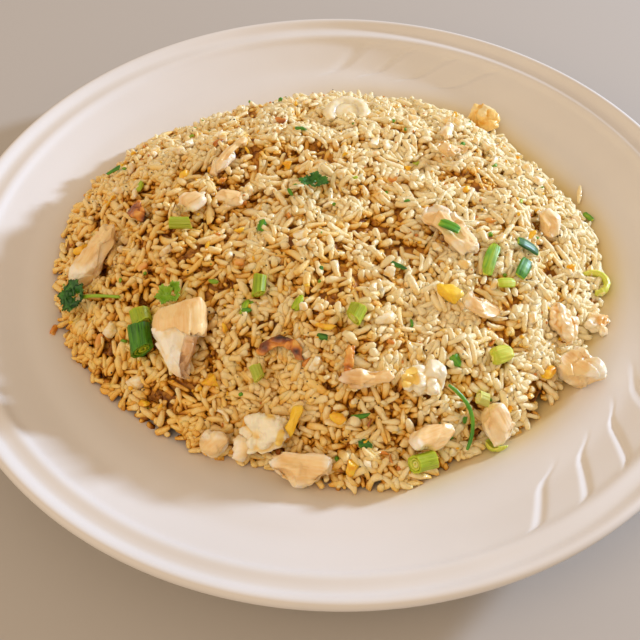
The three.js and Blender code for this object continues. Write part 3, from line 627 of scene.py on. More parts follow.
chicken_finish = Finish(
    "cooked_chicken", Roughness=0.40, Subsurface_Weight=0.25, Subsurface_Scale=0.0012,
    Subsurface_Radius=(1.0, 0.70, 0.40), Coat_Weight=0.14, Coat_Roughness=0.25,
)
fibres = chicken_finish.strands(0.09, 1300, 3)
blotches = chicken_finish.step(chicken_finish.grain(0.006), 0.3, 0.7)
beige = chicken_finish.mix(blotches, (0.88, 0.56, 0.21), (0.95, 0.70, 0.33))
beige = chicken_finish.mix(chicken_finish.step(fibres, 0.35, 0.7) * 0.45, beige, (0.97, 0.78, 0.46))
blotches = chicken_finish.step(chicken_finish.grain(0.004), 0.3, 0.6)
# Near white where torn, which also serves as painted highlight.
torn_white_and_highlight = chicken_finish.mix(blotches, (0.98, 0.78, 0.44), (1.0, 0.94, 0.79))
chicken_colour = chicken_finish.mix(chicken_finish.marked("torn"), beige, torn_white_and_highlight)
chicken_finish.paint(chicken_finish.mix(chicken_finish.marked("seared"), chicken_colour, (0.66, 0.30, 0.045)))
chicken_finish.bump(fibres, 0.22, 0.0003)

for seed, name in enumerate(CHICKEN):
    large = name == "chicken_large"
    piece = fine_copy(name, 0.0004, 12 if large else 3)
    places = vertex_places(piece)
    middle, axes, half = own_frame(places)
    places = sliced(places, middle, seed + 3, 3 if large else 8, 0.34 * half[2] + 0.0003)
    own = (places - middle) @ axes.T
    share_along, share_across = own[:, 0] / half[0], own[:, 1] / half[1]
    if large:
        # The biggest piece narrows to a pointed tip. It is torn across: skin above, ragged facets below
        # painted near white as pale flesh and as painted highlight, darker orange-brown on its right flank
        # and at its tip.
        taper = np.clip((share_along + 0.25) / 1.25, 0, 1)
        own[:, 1] *= 1 - 0.72 * taper**1.5
        own[:, 0] += 0.0022 * taper**2
        places = middle + own @ axes
        edge = -0.0017 + 0.2 * own[:, 1] + 0.0016 * flakes(own * np.array([0.5, 1, 0.2]), 0.0022, 4)
        torn = smoothstep(-0.0002, 0.0003, own[:, 0] - edge)
        flank = smoothstep(0.30, 0.62, share_across + 0.25 * share_along) * smoothstep(-0.1, 0.2, share_along)
        seared = np.maximum(0.75 * flank, 0.6 * smoothstep(0.70, 0.95, share_along)) * torn
        ramp = 0.0006 - 0.0034 * smoothstep(-0.9, 0.45, share_across)
        relief = torn * (ramp + 0.00050 * flakes(own * np.array([0.45, 1, 1]), 0.0042, seed))
    else:
        outer = np.maximum(np.abs(share_along), np.abs(share_across))
        # Towards their rims the pieces are painted paler, as torn flesh and as painted highlight on the edges.
        torn = 0.85 * smoothstep(-0.1, 0.5, soft_noise(own, 0.007, seed) + 1.2 * (outer - 0.6))
        spots = smoothstep(0.55, 0.8, soft_noise(own, 0.005, seed + 20))
        seared = 0.45 * spots * (1 - 0.6 * torn)
        relief = 0.0012 * flakes(own * np.array([0.6, 1, 1]), 0.0060, seed + 9)
        relief -= 0.0020 * smoothstep(0.2, 0.65, soft_noise(own, 0.0065, seed + 31))
    relief += 0.0006 * soft_noise(own, 0.005, seed)
    relief += 0.00022 * flakes(own * np.array([0.30, 1, 1]), 0.0042, seed)
    relief += 0.00010 * torn * flakes(own * np.array([0.4, 1, 1]), 0.0013, seed + 5)
    relief -= 0.00012 * (1 - crinkle(own * np.array([0.14, 1, 1]), 0.0011, seed))
    move_vertices(piece, places)
    raise_face(piece, places, relief)
    mark_own(piece, own)
    mark(piece, "torn", torn)
    mark(piece, "seared", seared)
    smooth(piece)
    seat(piece, chicken_finish, name + "_cooked", "chicken", name)


# ----------------------------------------------------------------------------- egg
# Egg scrambled in the pan and broken up: ruffled curds of white with yolk run into them, lumps
# of plain yolk, and golden pieces where it set against the hot metal.
EGG_PIECES = {
    # kind: slot, how ruffled, nodes
    "egg_white": ("egg_white", 1.0, ("egg_front", "egg_middle")),
    "egg_yolk": ("egg_yolk", 0.0, ("egg_front_yolk", "egg_yolk_middle")),
    "egg_gold": ("egg_gold", 1.0, ("egg_right", "egg_far_right")),
    "egg_peak": ("egg_gold", 0.35, ("egg_back",)),
}
EGG_COLOURS = {
    # kind: curd, the painted shade in its creases, the yolk run into it, how much yolk shows
    "egg_white": ((0.98, 0.89, 0.66), (0.94, 0.68, 0.26), (0.94, 0.62, 0.07), 0.36),
    "egg_yolk": ((0.96, 0.62, 0.03), (0.90, 0.42, 0.015), (0.95, 0.70, 0.12), 0.45),
    "egg_gold": ((0.97, 0.76, 0.44), (0.86, 0.48, 0.12), (0.97, 0.88, 0.66), 0.5),
    "egg_peak": ((0.95, 0.66, 0.22), (0.85, 0.45, 0.05), (0.97, 0.80, 0.45), 0.4),
}
EGG_GLOSS = {
    "Roughness": 0.34, "Subsurface_Weight": 0.3, "Subsurface_Scale": 0.0012,
    "Subsurface_Radius": (1.0, 0.75, 0.45),
}

for kind, (slot, ruffled, names) in EGG_PIECES.items():
    curd, crease_shade_colour, yolk, yolk_share = EGG_COLOURS[kind]
    egg_finish = Finish("cooked_" + kind, Coat_Weight=0.2, Coat_Roughness=0.2, **EGG_GLOSS)
    # The creases are painted darker, as shade.
    folded = egg_finish.mix(egg_finish.marked("folded"), crease_shade_colour, curd)
    egg_finish.paint(egg_finish.mix(egg_finish.marked("run_in"), folded, yolk))
    egg_finish.bump(egg_finish.grain(0.0007, detail=2), 0.5, 0.0003)
    for seed, name in enumerate(names):
        piece = fine_copy(name, 0.0004, 5)
        places = vertex_places(piece)
        if not ruffled:
            middle, _, half = own_frame(places)
            places = sliced(places, middle, seed + 11, 8, 0.5 * half[2])
            move_vertices(piece, places)
        fold = 0.7 * crinkle(places, 0.0048, seed + 2) + 0.3 * crinkle(places, 0.0024, seed + 7)
        relief = (0.0003 + 0.0017 * ruffled) * (fold - 0.65) + 0.0009 * soft_noise(places, 0.006, seed)
        relief += (0.0002 + 0.0001 * ruffled) * flakes(places, 0.0034, seed)
        raise_face(piece, places, relief)
        yolky = soft_noise(places, 0.005, seed + 4) - 0.5 + yolk_share
        mark(piece, "folded", smoothstep(0.15, 0.55, fold))
        mark(piece, "run_in", smoothstep(0.1, 0.25, yolky) * 0.85)
        smooth(piece)
        seat(piece, egg_finish, name + "_curd", slot, name)


# ----------------------------------------------------------------------------- browned bits
# Crusts of egg and onion that caught on the wok: orange-brown, blistered, black at the edges.
browned_finish = Finish(
    "browned_crust", Roughness=0.3, Coat_Weight=0.35, Coat_Roughness=0.15, Subsurface_Weight=0.1,
    Subsurface_Scale=0.001,
)
browned_finish.paint(browned_finish.ramp(
    browned_finish.marked("char"),
    (0.0, (0.90, 0.52, 0.12)), (0.3, (0.74, 0.27, 0.025)), (0.6, (0.30, 0.07, 0.008)),
    (0.85, (0.03, 0.010, 0.004)),
))
browned_finish.bump(browned_finish.grain(0.0008, detail=2), 0.6, 0.0003)
for seed, name in enumerate(("browned_crescent", "browned_strip", "browned_left")):
    piece = fine_copy(name, 0.0003, 4)
    places = vertex_places(piece)
    middle, axes, half = own_frame(places)
    thin_share = (places - middle) @ axes[2] / half[2]
    blister = crinkle(places, 0.0026, seed) - 0.6 + 0.5 * flakes(places, 0.0015, seed)
    raise_face(piece, places, 0.0006 * blister)
    char = 0.46 + 0.50 * smoothstep(0.25, -0.7, thin_share) + 0.50 * soft_noise(places, 0.0026, seed + 5)
    # The creases between blisters are painted a little darker, as shade.
    mark(piece, "char", np.clip(char - 0.12 * blister, 0, 1))
    smooth(piece)
    seat(piece, browned_finish, name + "_crust", "browned", name)


# ----------------------------------------------------------------------------- onion
# One softened arch of onion, see-through and pale: layers nested one inside the other round a
# solid heart.
ONION_LAYERS = (1.0, 0.82, 0.64)
ONION_HEART = np.array([0.82, 0.88, 0.84])

onion_finish = Finish(
    "soft_onion", Roughness=0.25, Subsurface_Weight=0.4, Subsurface_Scale=0.0008,
    Subsurface_Radius=(1.0, 0.8, 0.5), Coat_Weight=0.2, Coat_Roughness=0.12,
)
milky = onion_finish.step(onion_finish.grain(0.002), 0.3, 0.7)
onion_finish.paint(onion_finish.mix(milky, (0.96, 0.80, 0.47), (1.0, 0.91, 0.68)))
onion_parts = []
for share in ONION_LAYERS:
    layer = fine_copy("onion_ring", 0.0003, 8)
    places = vertex_places(layer)
    foot = np.array([*((places.min(0) + places.max(0)) / 2)[:2], places[:, 2].min()])
    lines = soft_noise(places * np.array([0.5, 0.5, 1]), 0.0012, 3)
    grown = places + normals_at(layer) * (0.0005 + 0.00025 * lines)[:, None]
    move_vertices(layer, foot + (grown - foot) * share)
    onion_parts.append(layer)
bpy.ops.mesh.primitive_uv_sphere_add(segments=48, ring_count=24, radius=1)
onion_heart = bpy.context.object
middle, axes, half = own_frame(vertex_places(frame["nodes"]["onion_ring"]))
move_vertices(onion_heart, middle + (vertex_places(onion_heart) * half * ONION_HEART) @ axes)
onion_parts.append(onion_heart)
only(*onion_parts)
bpy.ops.object.join()
onion = bpy.context.object
smooth(onion)
seat(onion, onion_finish, "onion_arch", "onion", "onion_ring")


# ----------------------------------------------------------------------------- scallion
# Spring onion cut across into short lengths: the stalk is a roll of pale layers, one inside
# the other, and the leaf end is a deep green tube. Split pieces lie open as curved strips.
SCALLION_TUBES = {
    # node: slot, greenness from white stalk to green leaf, number of layers
    "scallion_left_pale": ("scallion_pale", 0.60, 3),
    "scallion_left_deep": ("scallion_deep", 0.90, 3),
    "scallion_middle": ("scallion_pale", 0.64, 2),
    "scallion_short": ("scallion_pale", 0.52, 2),
    "scallion_mid_left": ("scallion_pale", 0.56, 2),
    "scallion_rings_small": ("scallion_pale", 0.56, 3),
    "scallion_block": ("scallion_pale", 0.30, 2),
    "scallion_front": ("scallion_pale", 0.58, 3),
}
SCALLION_STRIPS = {
    "scallion_on_slice": ("scallion_deep", 0.84),
    "scallion_sheet": ("scallion_pale", 0.74),
    "scallion_right_upper": ("herb", 0.94),
    "scallion_right_lower": ("herb", 0.93),
    "scallion_right_pale": ("scallion_pale", 0.55),
    "scallion_half_ring": ("scallion_pale", 0.42),
    "scallion_stalk": ("scallion_pale", 0.50),
    "scallion_bead": ("scallion_pale", 0.52),
    "loose_scallion": ("scallion_deep", 0.88),
}
TUBE_SIDES = 30
WALL_SHARE = 0.17
HEART_SHARE = 0.45
CUT_SLANT = 0.42

scallion_finish = Finish(
    "scallion_skin", Roughness=0.46, Subsurface_Weight=0.2, Subsurface_Scale=0.001, Coat_Weight=0.06,
    Coat_Roughness=0.25,
)
veins = scallion_finish.strands(0.06, 1700, 2)
scallion_finish.paint(scallion_finish.ramp(
    scallion_finish.marked("green") + (veins - 0.5) * 0.40,
    (0.0, (0.96, 0.92, 0.55)), (0.35, (0.78, 0.78, 0.13)), (0.6, (0.46, 0.58, 0.015)),
    (0.85, (0.09, 0.33, 0.005)), (1.0, (0.012, 0.10, 0.008)),
))
scallion_finish.bump(veins, 0.4, 0.0002)


def select_long_edges(thing, least):
    """Marks the edges that run more than `least` along X, for the next operator in edit mode."""
    for edge in thing.data.edges:
        first, second = (thing.data.vertices[k].co for k in edge.vertices)
        edge.select = abs(first.x - second.x) > least


def scallion_layer(radius, wall, length):
    """One hollow layer of stalk lying along X: a cylinder bored through, with fine rounded faces."""
    bpy.ops.mesh.primitive_cylinder_add(
        vertices=TUBE_SIDES, radius=radius, depth=length, end_fill_type="NGON", rotation=(0, math.pi / 2, 0)
    )
    layer = bpy.context.object
    bpy.ops.object.transform_apply(location=False, rotation=True, scale=False)
    bpy.ops.object.mode_set(mode="EDIT")
    bpy.ops.mesh.select_all(action="DESELECT")
    bpy.ops.object.mode_set(mode="OBJECT")
    for face in layer.data.polygons:
        face.select = abs(face.normal.x) > 0.9
    bpy.ops.object.mode_set(mode="EDIT")
    bpy.ops.mesh.inset(thickness=wall, use_individual=True)
    bpy.ops.mesh.bridge_edge_loops()
    bpy.ops.mesh.select_all(action="DESELECT")
    bpy.ops.object.mode_set(mode="OBJECT")
    select_long_edges(layer, 0.6 * length)
    bpy.ops.object.mode_set(mode="EDIT")
    bpy.ops.mesh.select_mode(type="EDGE")
    bpy.ops.mesh.subdivide(number_cuts=3)
    bpy.ops.mesh.select_mode(type="VERT")
    bpy.ops.mesh.select_all(action="SELECT")
    bpy.ops.mesh.normals_make_consistent(inside=False)
    bpy.ops.object.mode_set(mode="OBJECT")
    apply_modifier(layer, "BEVEL", width=wall * 0.22, segments=2, limit_method="ANGLE")
    return layer


def scallion_cut(name, green_share, layers, seed):
    """A cut length of rolled layers in the place of a packed tube, its near end cut on the slant."""
    middle, axes, half = own_frame(vertex_places(frame["nodes"][name]))
    radius = min(half[1], half[2]) * 0.98
    chance = np.random.default_rng(seed)
    near_end = -1 if axes[0][1] > 0 else 1
    rolled = []
    for k in range(layers):
        outer = radius * (1 - 0.32 * k)
        wall = outer * (WALL_SHARE if k < layers - 1 else HEART_SHARE)
        layer = scallion_layer(outer, wall, 2 * half[0] * (1 - 0.05 * k))
        own = vertex_places(layer)
        turn = np.arctan2(own[:, 2], own[:, 1])
        swell = 1 + 0.03 * np.sin(9 * turn + seed + k) + 0.05 * np.cos(2 * turn + seed)
        end = near_end * own[:, 0] / half[0]
        own[:, 1:] *= (swell * (1 + 0.03 * (np.abs(end) - 0.6)))[:, None]
        own[:, 1:] += chance.normal(0, 0.02 * radius, 2) * k
        own[:, 0] += 0.00018 * soft_noise(own, 0.0016, seed + k) * (np.abs(end) > 0.8)
        own[:, 0] -= near_end * np.clip(end, 0, 1) * CUT_SLANT * (own[:, 2] + radius)
        mark_own(layer, own)
        mark(layer, "green", green_share - 0.16 * k - 0.10 * (np.abs(end) > 0.97) * (k > 0))
        move_vertices(layer, middle + own @ axes)
        rolled.append(layer)
    only(*rolled)
    bpy.ops.object.join()
    bpy.ops.object.shade_smooth_by_angle(angle=math.radians(50))
    return bpy.context.object


for seed, (name, (slot, share, layers)) in enumerate(SCALLION_TUBES.items()):
    seat(scallion_cut(name, share, layers, seed), scallion_finish, name + "_cut", slot, name)

for seed, (name, (slot, share)) in enumerate(SCALLION_STRIPS.items()):
    piece = fine_copy(name, 0.0003, 2)
    places = vertex_places(piece)
    middle, axes, half = own_frame(places)
    own = (places - middle) @ axes.T
    raise_face(piece, places, 0.00018 * soft_noise(own * np.array([0.05, 1, 0.2]), 0.0007, seed))
    mark_own(piece, own)
    cut_ends = np.abs(own[:, 0]) / half[0] > 0.93
    mark(piece, "green", share + 0.12 * soft_noise(own, 0.004, seed + 3) - 0.25 * cut_ends)
    smooth(piece)
    seat(piece, scallion_finish, name + "_strip", slot, name)


# ----------------------------------------------------------------------------- herb
# Leaves of parsley, wilted by the heat: thin, dark, lobed and toothed round the edge, crumpled
# along their veins, on pale green stalks.
HERB_LEAVES = {
    # node: slot, greenness, leaves as (along, across, size, turn, tilt): places in shares of the
    # node's half sizes, size in its half width, angles in degrees
    "herb_sprig": ("herb", 0.94, (
        (-0.30, 0.0, 1.35, 180, 20), (-0.30, 0.2, 1.20, 130, 35), (-0.25, -0.2, 1.20, -130, 30),
        (-0.20, 0.1, 1.00, 70, 45), (-0.20, -0.1, 1.00, -65, 40), (-0.45, 0.0, 0.85, 160, 60),
        (-0.15, 0.0, 0.7, 20, 50),
    )),
    "herb_leaf_left": ("scallion_deep", 0.50, (
        (0.1, 0.0, 1.9, 180, 10), (-0.1, 0.1, 1.3, 35, 25), (0.0, -0.2, 1.1, -70, 40),
    )),
    "herb_leaf_middle": ("herb", 0.90, (
        (0.1, 0.0, 1.8, 170, 15), (-0.1, -0.1, 1.6, -20, 25), (0.0, 0.3, 1.2, 80, 40),
    )),
}
LEAF_RAYS = 64
LEAF_THICKNESS = 0.00028
LEAF_RISE = 0.0030
STALK_THICKNESS = 0.0013

herb_finish = Finish(
    "parsley_leaf", Roughness=0.38, Subsurface_Weight=0.1, Subsurface_Scale=0.0008, Coat_Weight=0.1,
    Coat_Roughness=0.2,
)
herb_finish.paint(herb_finish.ramp(
    herb_finish.marked("green") + (herb_finish.grain(0.0012) - 0.5) * 0.2,
    (0.0, (0.66, 0.70, 0.12)), (0.4, (0.30, 0.52, 0.02)), (0.75, (0.07, 0.30, 0.008)),
    (1.0, (0.008, 0.085, 0.010)),
))
herb_finish.bump(herb_finish.grain(0.0009, detail=2), 0.4, 0.0002)


def leaf_blade(size, turn, tilt, seed, green_share):
    """One lobed, toothed and crumpled leaf, its stalk end at the origin and its tip `size` away."""
    bpy.ops.mesh.primitive_circle_add(vertices=LEAF_RAYS, radius=1, fill_type="TRIFAN")
    blade = bpy.context.object
    bpy.ops.object.mode_set(mode="EDIT")
    bpy.ops.mesh.select_all(action="SELECT")
    bpy.ops.mesh.subdivide(number_cuts=3)
    bpy.ops.object.mode_set(mode="OBJECT")
    flat = vertex_places(blade)
    reach = np.hypot(flat[:, 0], flat[:, 1])
    angle = np.arctan2(flat[:, 1], flat[:, 0])
    lobes = 0.82 + 0.13 * np.cos(5 * angle + 0.2 * seed) + 0.07 * np.sin(17 * angle + seed)
    pinch = 1 - 0.5 * np.exp(-(((np.abs(angle) - math.pi) / 0.35) ** 2))
    spread = reach * lobes * pinch
    own = np.stack([0.5 + 0.55 * spread * np.cos(angle), 0.52 * spread * np.sin(angle), 0 * reach], 1) * size
    crumple = 0.13 * soft_noise(own, 0.30 * size, seed) + 0.06 * soft_noise(own, 0.14 * size, seed)
    fold = 0.30 * np.abs(own[:, 1]) + size * crumple
    vein = np.exp(-((np.sin(2.5 * angle) / 0.16) ** 2)) * (reach > 0.1)
    own[:, 2] = fold * (0.3 + reach) - 0.03 * size * vein
    tilt_cos, tilt_sin = math.cos(math.radians(tilt)), math.sin(math.radians(tilt))
    turn_cos, turn_sin = math.cos(math.radians(turn)), math.sin(math.radians(turn))
    tilted = np.array([[tilt_cos, 0, tilt_sin], [0, 1, 0], [-tilt_sin, 0, tilt_cos]])
    turned = np.array([[turn_cos, turn_sin, 0], [-turn_sin, turn_cos, 0], [0, 0, 1]])
    mark(blade, "green", green_share - 0.18 * vein + 0.10 * soft_noise(own, 0.4 * size, seed + 3))
    move_vertices(blade, own @ tilted @ turned)
    apply_modifier(blade, "SOLIDIFY", thickness=LEAF_THICKNESS, offset=0)
    return blade


def stalk(start, bend, end, thick, green_share):
    """A round stem through three points, a little thicker at its first end."""
    bpy.ops.mesh.primitive_cylinder_add(
        vertices=10, radius=1, depth=1, location=(0.5, 0, 0), rotation=(0, math.pi / 2, 0)
    )
    stem = bpy.context.object
    bpy.ops.object.transform_apply(location=True, rotation=True, scale=False)
    select_long_edges(stem, 0.5)
    bpy.ops.object.mode_set(mode="EDIT")
    bpy.ops.mesh.select_mode(type="EDGE")
    bpy.ops.mesh.subdivide(number_cuts=14)
    bpy.ops.mesh.select_mode(type="VERT")
    bpy.ops.object.mode_set(mode="OBJECT")
    straight = vertex_places(stem)
    t = straight[:, :1]
    path = (1 - t) ** 2 * start + 2 * t * (1 - t) * bend + t**2 * end
    tangent = (1 - t) * (bend - start) + t * (end - bend)
    tangent /= np.linalg.norm(tangent, axis=1)[:, None]
    side = np.cross(tangent, [0, 0, 1])
    side /= np.linalg.norm(side, axis=1)[:, None]
    up = np.cross(side, tangent)
    knots = 0.08 * np.sin(t * np.linalg.norm(end - start) * 900)
    girth = 0.5 * thick * (1.15 - 0.35 * t + knots)
    move_vertices(stem, path + girth * (side * straight[:, 1:2] + up * straight[:, 2:3]))
    mark(stem, "green", np.full(len(t), green_share))
    return stem


for seed, (name, (slot, share, blades)) in enumerate(HERB_LEAVES.items()):
    middle, axes, half = own_frame(vertex_places(frame["nodes"][name]))
    parts = []
    for k, (along, across, size, turn, tilt) in enumerate(blades):
        blade = leaf_blade(size * half[1], turn, tilt, 3 * seed + k, share)
        own = vertex_places(blade) + np.array([along * half[0], across * half[1], 0.0003])
        own[:, 2] = np.minimum(own[:, 2], LEAF_RISE)
        move_vertices(blade, middle + own @ axes)
        parts.append(blade)
    if name == "herb_sprig":
        stations = ((-0.002, 0, 0.0006), (0.004, 0.0006, 0.0014), (half[0] * 0.97, 0, -0.0002))
        points = [middle + np.array(station) @ axes for station in stations]
        parts.append(stalk(*points, STALK_THICKNESS, 0.40))
    only(*parts)
    bpy.ops.object.join()
    piece = bpy.context.object
    smooth(piece)
    seat(piece, herb_finish, name + "_parsley", slot, name)

# A long bare stalk lies over the front of the heap, curled like a hook.
stem_piece = fine_copy("herb_stem", 0.00028, 6)
mark(stem_piece, "green", 0.74 + 0.15 * soft_noise(vertex_places(stem_piece), 0.004, 2))
smooth(stem_piece)
seat(stem_piece, herb_finish, "herb_stem_curled", "scallion_deep", "herb_stem")


# ----------------------------------------------------------------------------- small cuts
# Slivers of scallion leaf and stalk, crumbs of yolk and of white, and browned flecks, each a
# few millimetres long, lie among the grains. The heap's solid carries them as bumps.
SMALL_CUTS = {
    # kind: pieces as (x, y, length, width, turn) in millimetres and degrees
    "scallion_slivers": (
        (-27, -14, 6, 3.4, 80), (-31, -47, 6.5, 3, 75), (-12.5, -48, 6.5, 3, 68), (-77, 17, 6, 3.4, 70),
        (-92, 38, 7, 2.6, 10), (11, -88, 5, 4, 20), (41, -62, 5, 3.6, -60), (9, -81, 6, 2.2, 8), (62, 34, 4, 2.4, 20),
        (22, -30, 7, 2.2, -15), (-15, 40, 5, 2, 0), (30, 26, 3.5, 2, 40), (-4, -60, 4, 2.4, -20), (70, 12, 4, 2, 70),
    ),
    "yolk_crumbs": (
        (-58, 15, 5, 4, 30), (-88, 13, 6, 4, 60), (-41, -69.5, 6.5, 5, 45), (1.5, -82, 6, 5, -30),
        (6, -95, 6, 4.6, 70), (76, -56, 7, 4.6, 55), (-19, 19, 5, 3, 10), (-3, -57, 7, 3, -10), (-98, -5, 6, 4, 20),
        (72, -6, 5, 3, 60), (27, 22, 4, 3, 0), (-36, 30, 4, 3, 80), (49, 12, 4, 3, 30), (-66, -70, 4, 3, 0),
        (88, -12, 4, 3, 20),
    ),
    "egg_crumbs": (
        (-33, 8, 6, 5, 50), (30, 58, 6, 5, 0), (17, -52, 8, 5, 20), (-70, -62, 8, 6, 20), (-48, 45, 7, 5, 15),
        (14, 32, 6, 5, 60), (62, 52, 7, 5, 30), (-80, -46, 6, 5, 30), (2, 12, 6, 4, 10), (70, -40, 6, 5, 80),
        (-12, -22, 6, 5, 20), (45, -26, 5, 4, 0), (-62, 34, 6, 5, 50), (80, 30, 6, 4, 20),
    ),
    "browned_flecks": (
        (-70, -24, 5, 3.4, 20), (-84, -48, 5, 3, 60), (-47, 32, 5, 3, 40), (-9, -66, 4, 2.4, 60),
        (-34, -30, 4, 3, 0), (-104, -38, 5, 3, 80), (20, 10, 4, 2.4, 30), (57, -3, 4, 2.4, 10), (-24, 52, 5, 3, 0),
        (-60, -30, 4, 2, 45),
    ),
}
SCATTER_HALF = 108


def crumbled_egg(kind):
    """The finish of egg broken small."""
    curd, crease_shade_colour, _, _ = EGG_COLOURS[kind]
    finish = Finish("crumbled_" + kind, Coat_Weight=0.15, **EGG_GLOSS)
    finish.paint(finish.mix(finish.step(finish.grain(0.0022), 0.35, 0.65), crease_shade_colour, curd))
    finish.bump(finish.grain(0.0008, detail=2), 0.6, 0.0003)
    return finish


yolk_finish = crumbled_egg("egg_yolk")
SMALL_LOOKS = {
    # kind: finish, slot, thickness, how many more lie about by chance, their length, squareness
    "scallion_slivers": (scallion_finish, "scallion_deep", 1.2, 16, 3.0, 0.62),
    "yolk_crumbs": (yolk_finish, "egg_yolk", 3.2, 22, 3.2, 0.8),
    "egg_crumbs": (crumbled_egg("egg_white"), "egg_white", 3.6, 60, 5.0, 0.8),
    "browned_flecks": (browned_finish, "browned", 1.8, 18, 2.6, 0.62),
}


def broken_lump(seed, squareness):
    """An angular crumb one unit across: its vertices and its triangles."""
    bpy.ops.mesh.primitive_ico_sphere_add(subdivisions=3, radius=0.5)
    lump = bpy.context.object
    places = vertex_places(lump)
    places = np.sign(places) * np.abs(2 * places) ** squareness / 2
    places = sliced(places, np.zeros(3), seed, 7, 0.30)
    places *= (1 + 0.20 * soft_noise(places, 0.33, seed) + 0.16 * flakes(places, 0.30, seed))[:, None]
    triangles = np.array([tuple(face.vertices) for face in lump.data.polygons])
    bpy.data.objects.remove(lump)
    return places, triangles


def plain_mesh(name, places, triangles):
    """A new object from rows of points and of triangles."""
    mesh = bpy.data.meshes.new(name)
    mesh.vertices.add(len(places))
    mesh.vertices.foreach_set("co", np.ascontiguousarray(places, dtype=np.float32).ravel())
    mesh.loops.add(3 * len(triangles))
    mesh.loops.foreach_set("vertex_index", np.ascontiguousarray(triangles, dtype=np.int32).ravel())
    mesh.polygons.add(len(triangles))
    mesh.polygons.foreach_set("loop_start", np.arange(0, 3 * len(triangles), 3, dtype=np.int32))
    mesh.polygons.foreach_set("use_smooth", np.ones(len(triangles), dtype=bool))
    mesh.update(calc_edges=True)
    piece = bpy.data.objects.new(name, mesh)
    bpy.context.scene.collection.objects.link(piece)
    return piece


small_meshes = []
for seed, (kind, cuts) in enumerate(SMALL_CUTS.items()):
    finish, slot, thick, more, typical, squareness = SMALL_LOOKS[kind]
    chance = np.random.default_rng(seed + 40)
    tries = chance.uniform(-SCATTER_HALF, SCATTER_HALF, (8 * more, 2))
    tries = tries[read_map(edge_share, tries[:, 0] * MM, tries[:, 1] * MM) > 0.85][:more]
    sizes = [chance.uniform(low, high, len(tries)) for low, high in ((0.6, 1.3), (0.4, 0.75), (0, 180))]
    extra = np.column_stack([tries, typical * sizes[0], typical * sizes[1], sizes[2]])
    rows = np.concatenate([np.array(cuts, dtype=float), extra])
    x, y = rows[:, 0] * MM, rows[:, 1] * MM
    normal = normals_of(skin_slopes, x, y)
    level = np.stack([np.cos(np.radians(rows[:, 4])), np.sin(np.radians(rows[:, 4])), np.zeros(len(x))], 1)
    side = np.cross(normal, level)
    side /= np.linalg.norm(side, axis=1)[:, None]
    forward = np.cross(side, normal)
    ground = np.stack([x, y, read_map(face_map, x, y)], 1) + normal * 0.0006
    templates = [broken_lump(9 * seed + k, squareness) for k in range(4)]
    places, triangles, own_all = [], [], []
    for k, (_, _, long, wide, _) in enumerate(rows):
        template, faces = templates[k % 4]
        own = template * np.array([long, wide, thick * min(1, wide / (0.6 * typical))]) * MM
        # The cut droops at its sides and bends a little along it.
        own[:, 2] -= 0.20 * wide * MM * (2 * template[:, 1]) ** 2
        own[:, 2] += chance.normal(0, 0.10) * long * MM * (2 * template[:, 0]) ** 2
        own *= (1 + 0.10 * soft_noise(template + k, 0.4, k))[:, None]
        triangles.append(faces + len(template) * k)
        places.append(ground[k] + own @ np.stack([forward[k], side[k], normal[k]]))
        own_all.append(own)
    piece = plain_mesh(kind, np.concatenate(places), np.concatenate(triangles))
    own_all = np.concatenate(own_all)
    shade = np.repeat(np.random.default_rng(seed).random(len(rows)), len(templates[0][0]))
    mark_own(piece, own_all)
    mark(piece, "green", 0.62 + 0.36 * shade)
    mark(piece, "char", 0.10 + 0.45 * shade + 0.35 * soft_noise(own_all, 0.002, 3))
    seat(piece, finish, kind, slot)
    small_meshes.append(piece)


# ----------------------------------------------------------------------------- rice grains
# Long-grain rice, cooked and then fried: blunt, slightly curved grains 7 to 9 mm long, many
# broken shorter, swollen, oily and a little see-through. They stick together in lumps that lie
# over the bed, round the toppings and out to the heap's edge, with crumbs of rice between them.
GRAIN_KINDS = (
    # name, share of all grains, length, thickness, bow along it, bluntness of its tips
    ("rice_long", 0.30, 0.0089, 0.00230, 0.09, 6.0),
    ("rice_plump", 0.29, 0.0076, 0.00265, 0.06, 6.0),
    ("rice_slim", 0.15, 0.0083, 0.00208, 0.15, 5.0),
    ("rice_broken", 0.26, 0.0050, 0.00242, 0.03, 7.0),
)
GRAIN_COUNT = 7700
CRUMB_COUNT = 4100
LUMP = 4
PROUD_LUMP = 0.0016
STUCK_GAP = 0.60
LOOSE_GAP = 0.80
LONGEST_MOVE = 0.0012
SETTLING_ROUNDS = 27
# Each grain is felt as a row of balls, at these shares of its half length.
BALLS = np.array([-1.0, -1 / 3, 1 / 3, 1.0])

random = np.random.default_rng(7)
floor_map = np.maximum(plate_map + 0.0002, np.where(on_heap, face_map - GRAIN_LAYER, plate_map))
floor_slopes = np.gradient(floor_map, MAP_STEP)


def face_tree(things):
    """A search tree over the faces of several meshes, and its points."""
    points, faces = [], []
    for thing in things:
        start = len(points)
        points += [v.co.copy() for v in thing.data.vertices]
        faces += [tuple(start + k for k in p.vertices) for p in thing.data.polygons]
    return BVHTree.FromPolygons(points, faces), np.array([tuple(point) for point in points])


# All that the grains lie round, and a map of where that is.
obstacle_tree, obstacle_points = face_tree(toppings + small_meshes)
near_obstacle = np.zeros_like(skin_map)
for shift in np.ndindex(7, 7):
    near_obstacle[tuple(map_cells(obstacle_points, 3) + np.array(shift)[:, None] - 3)] = 1


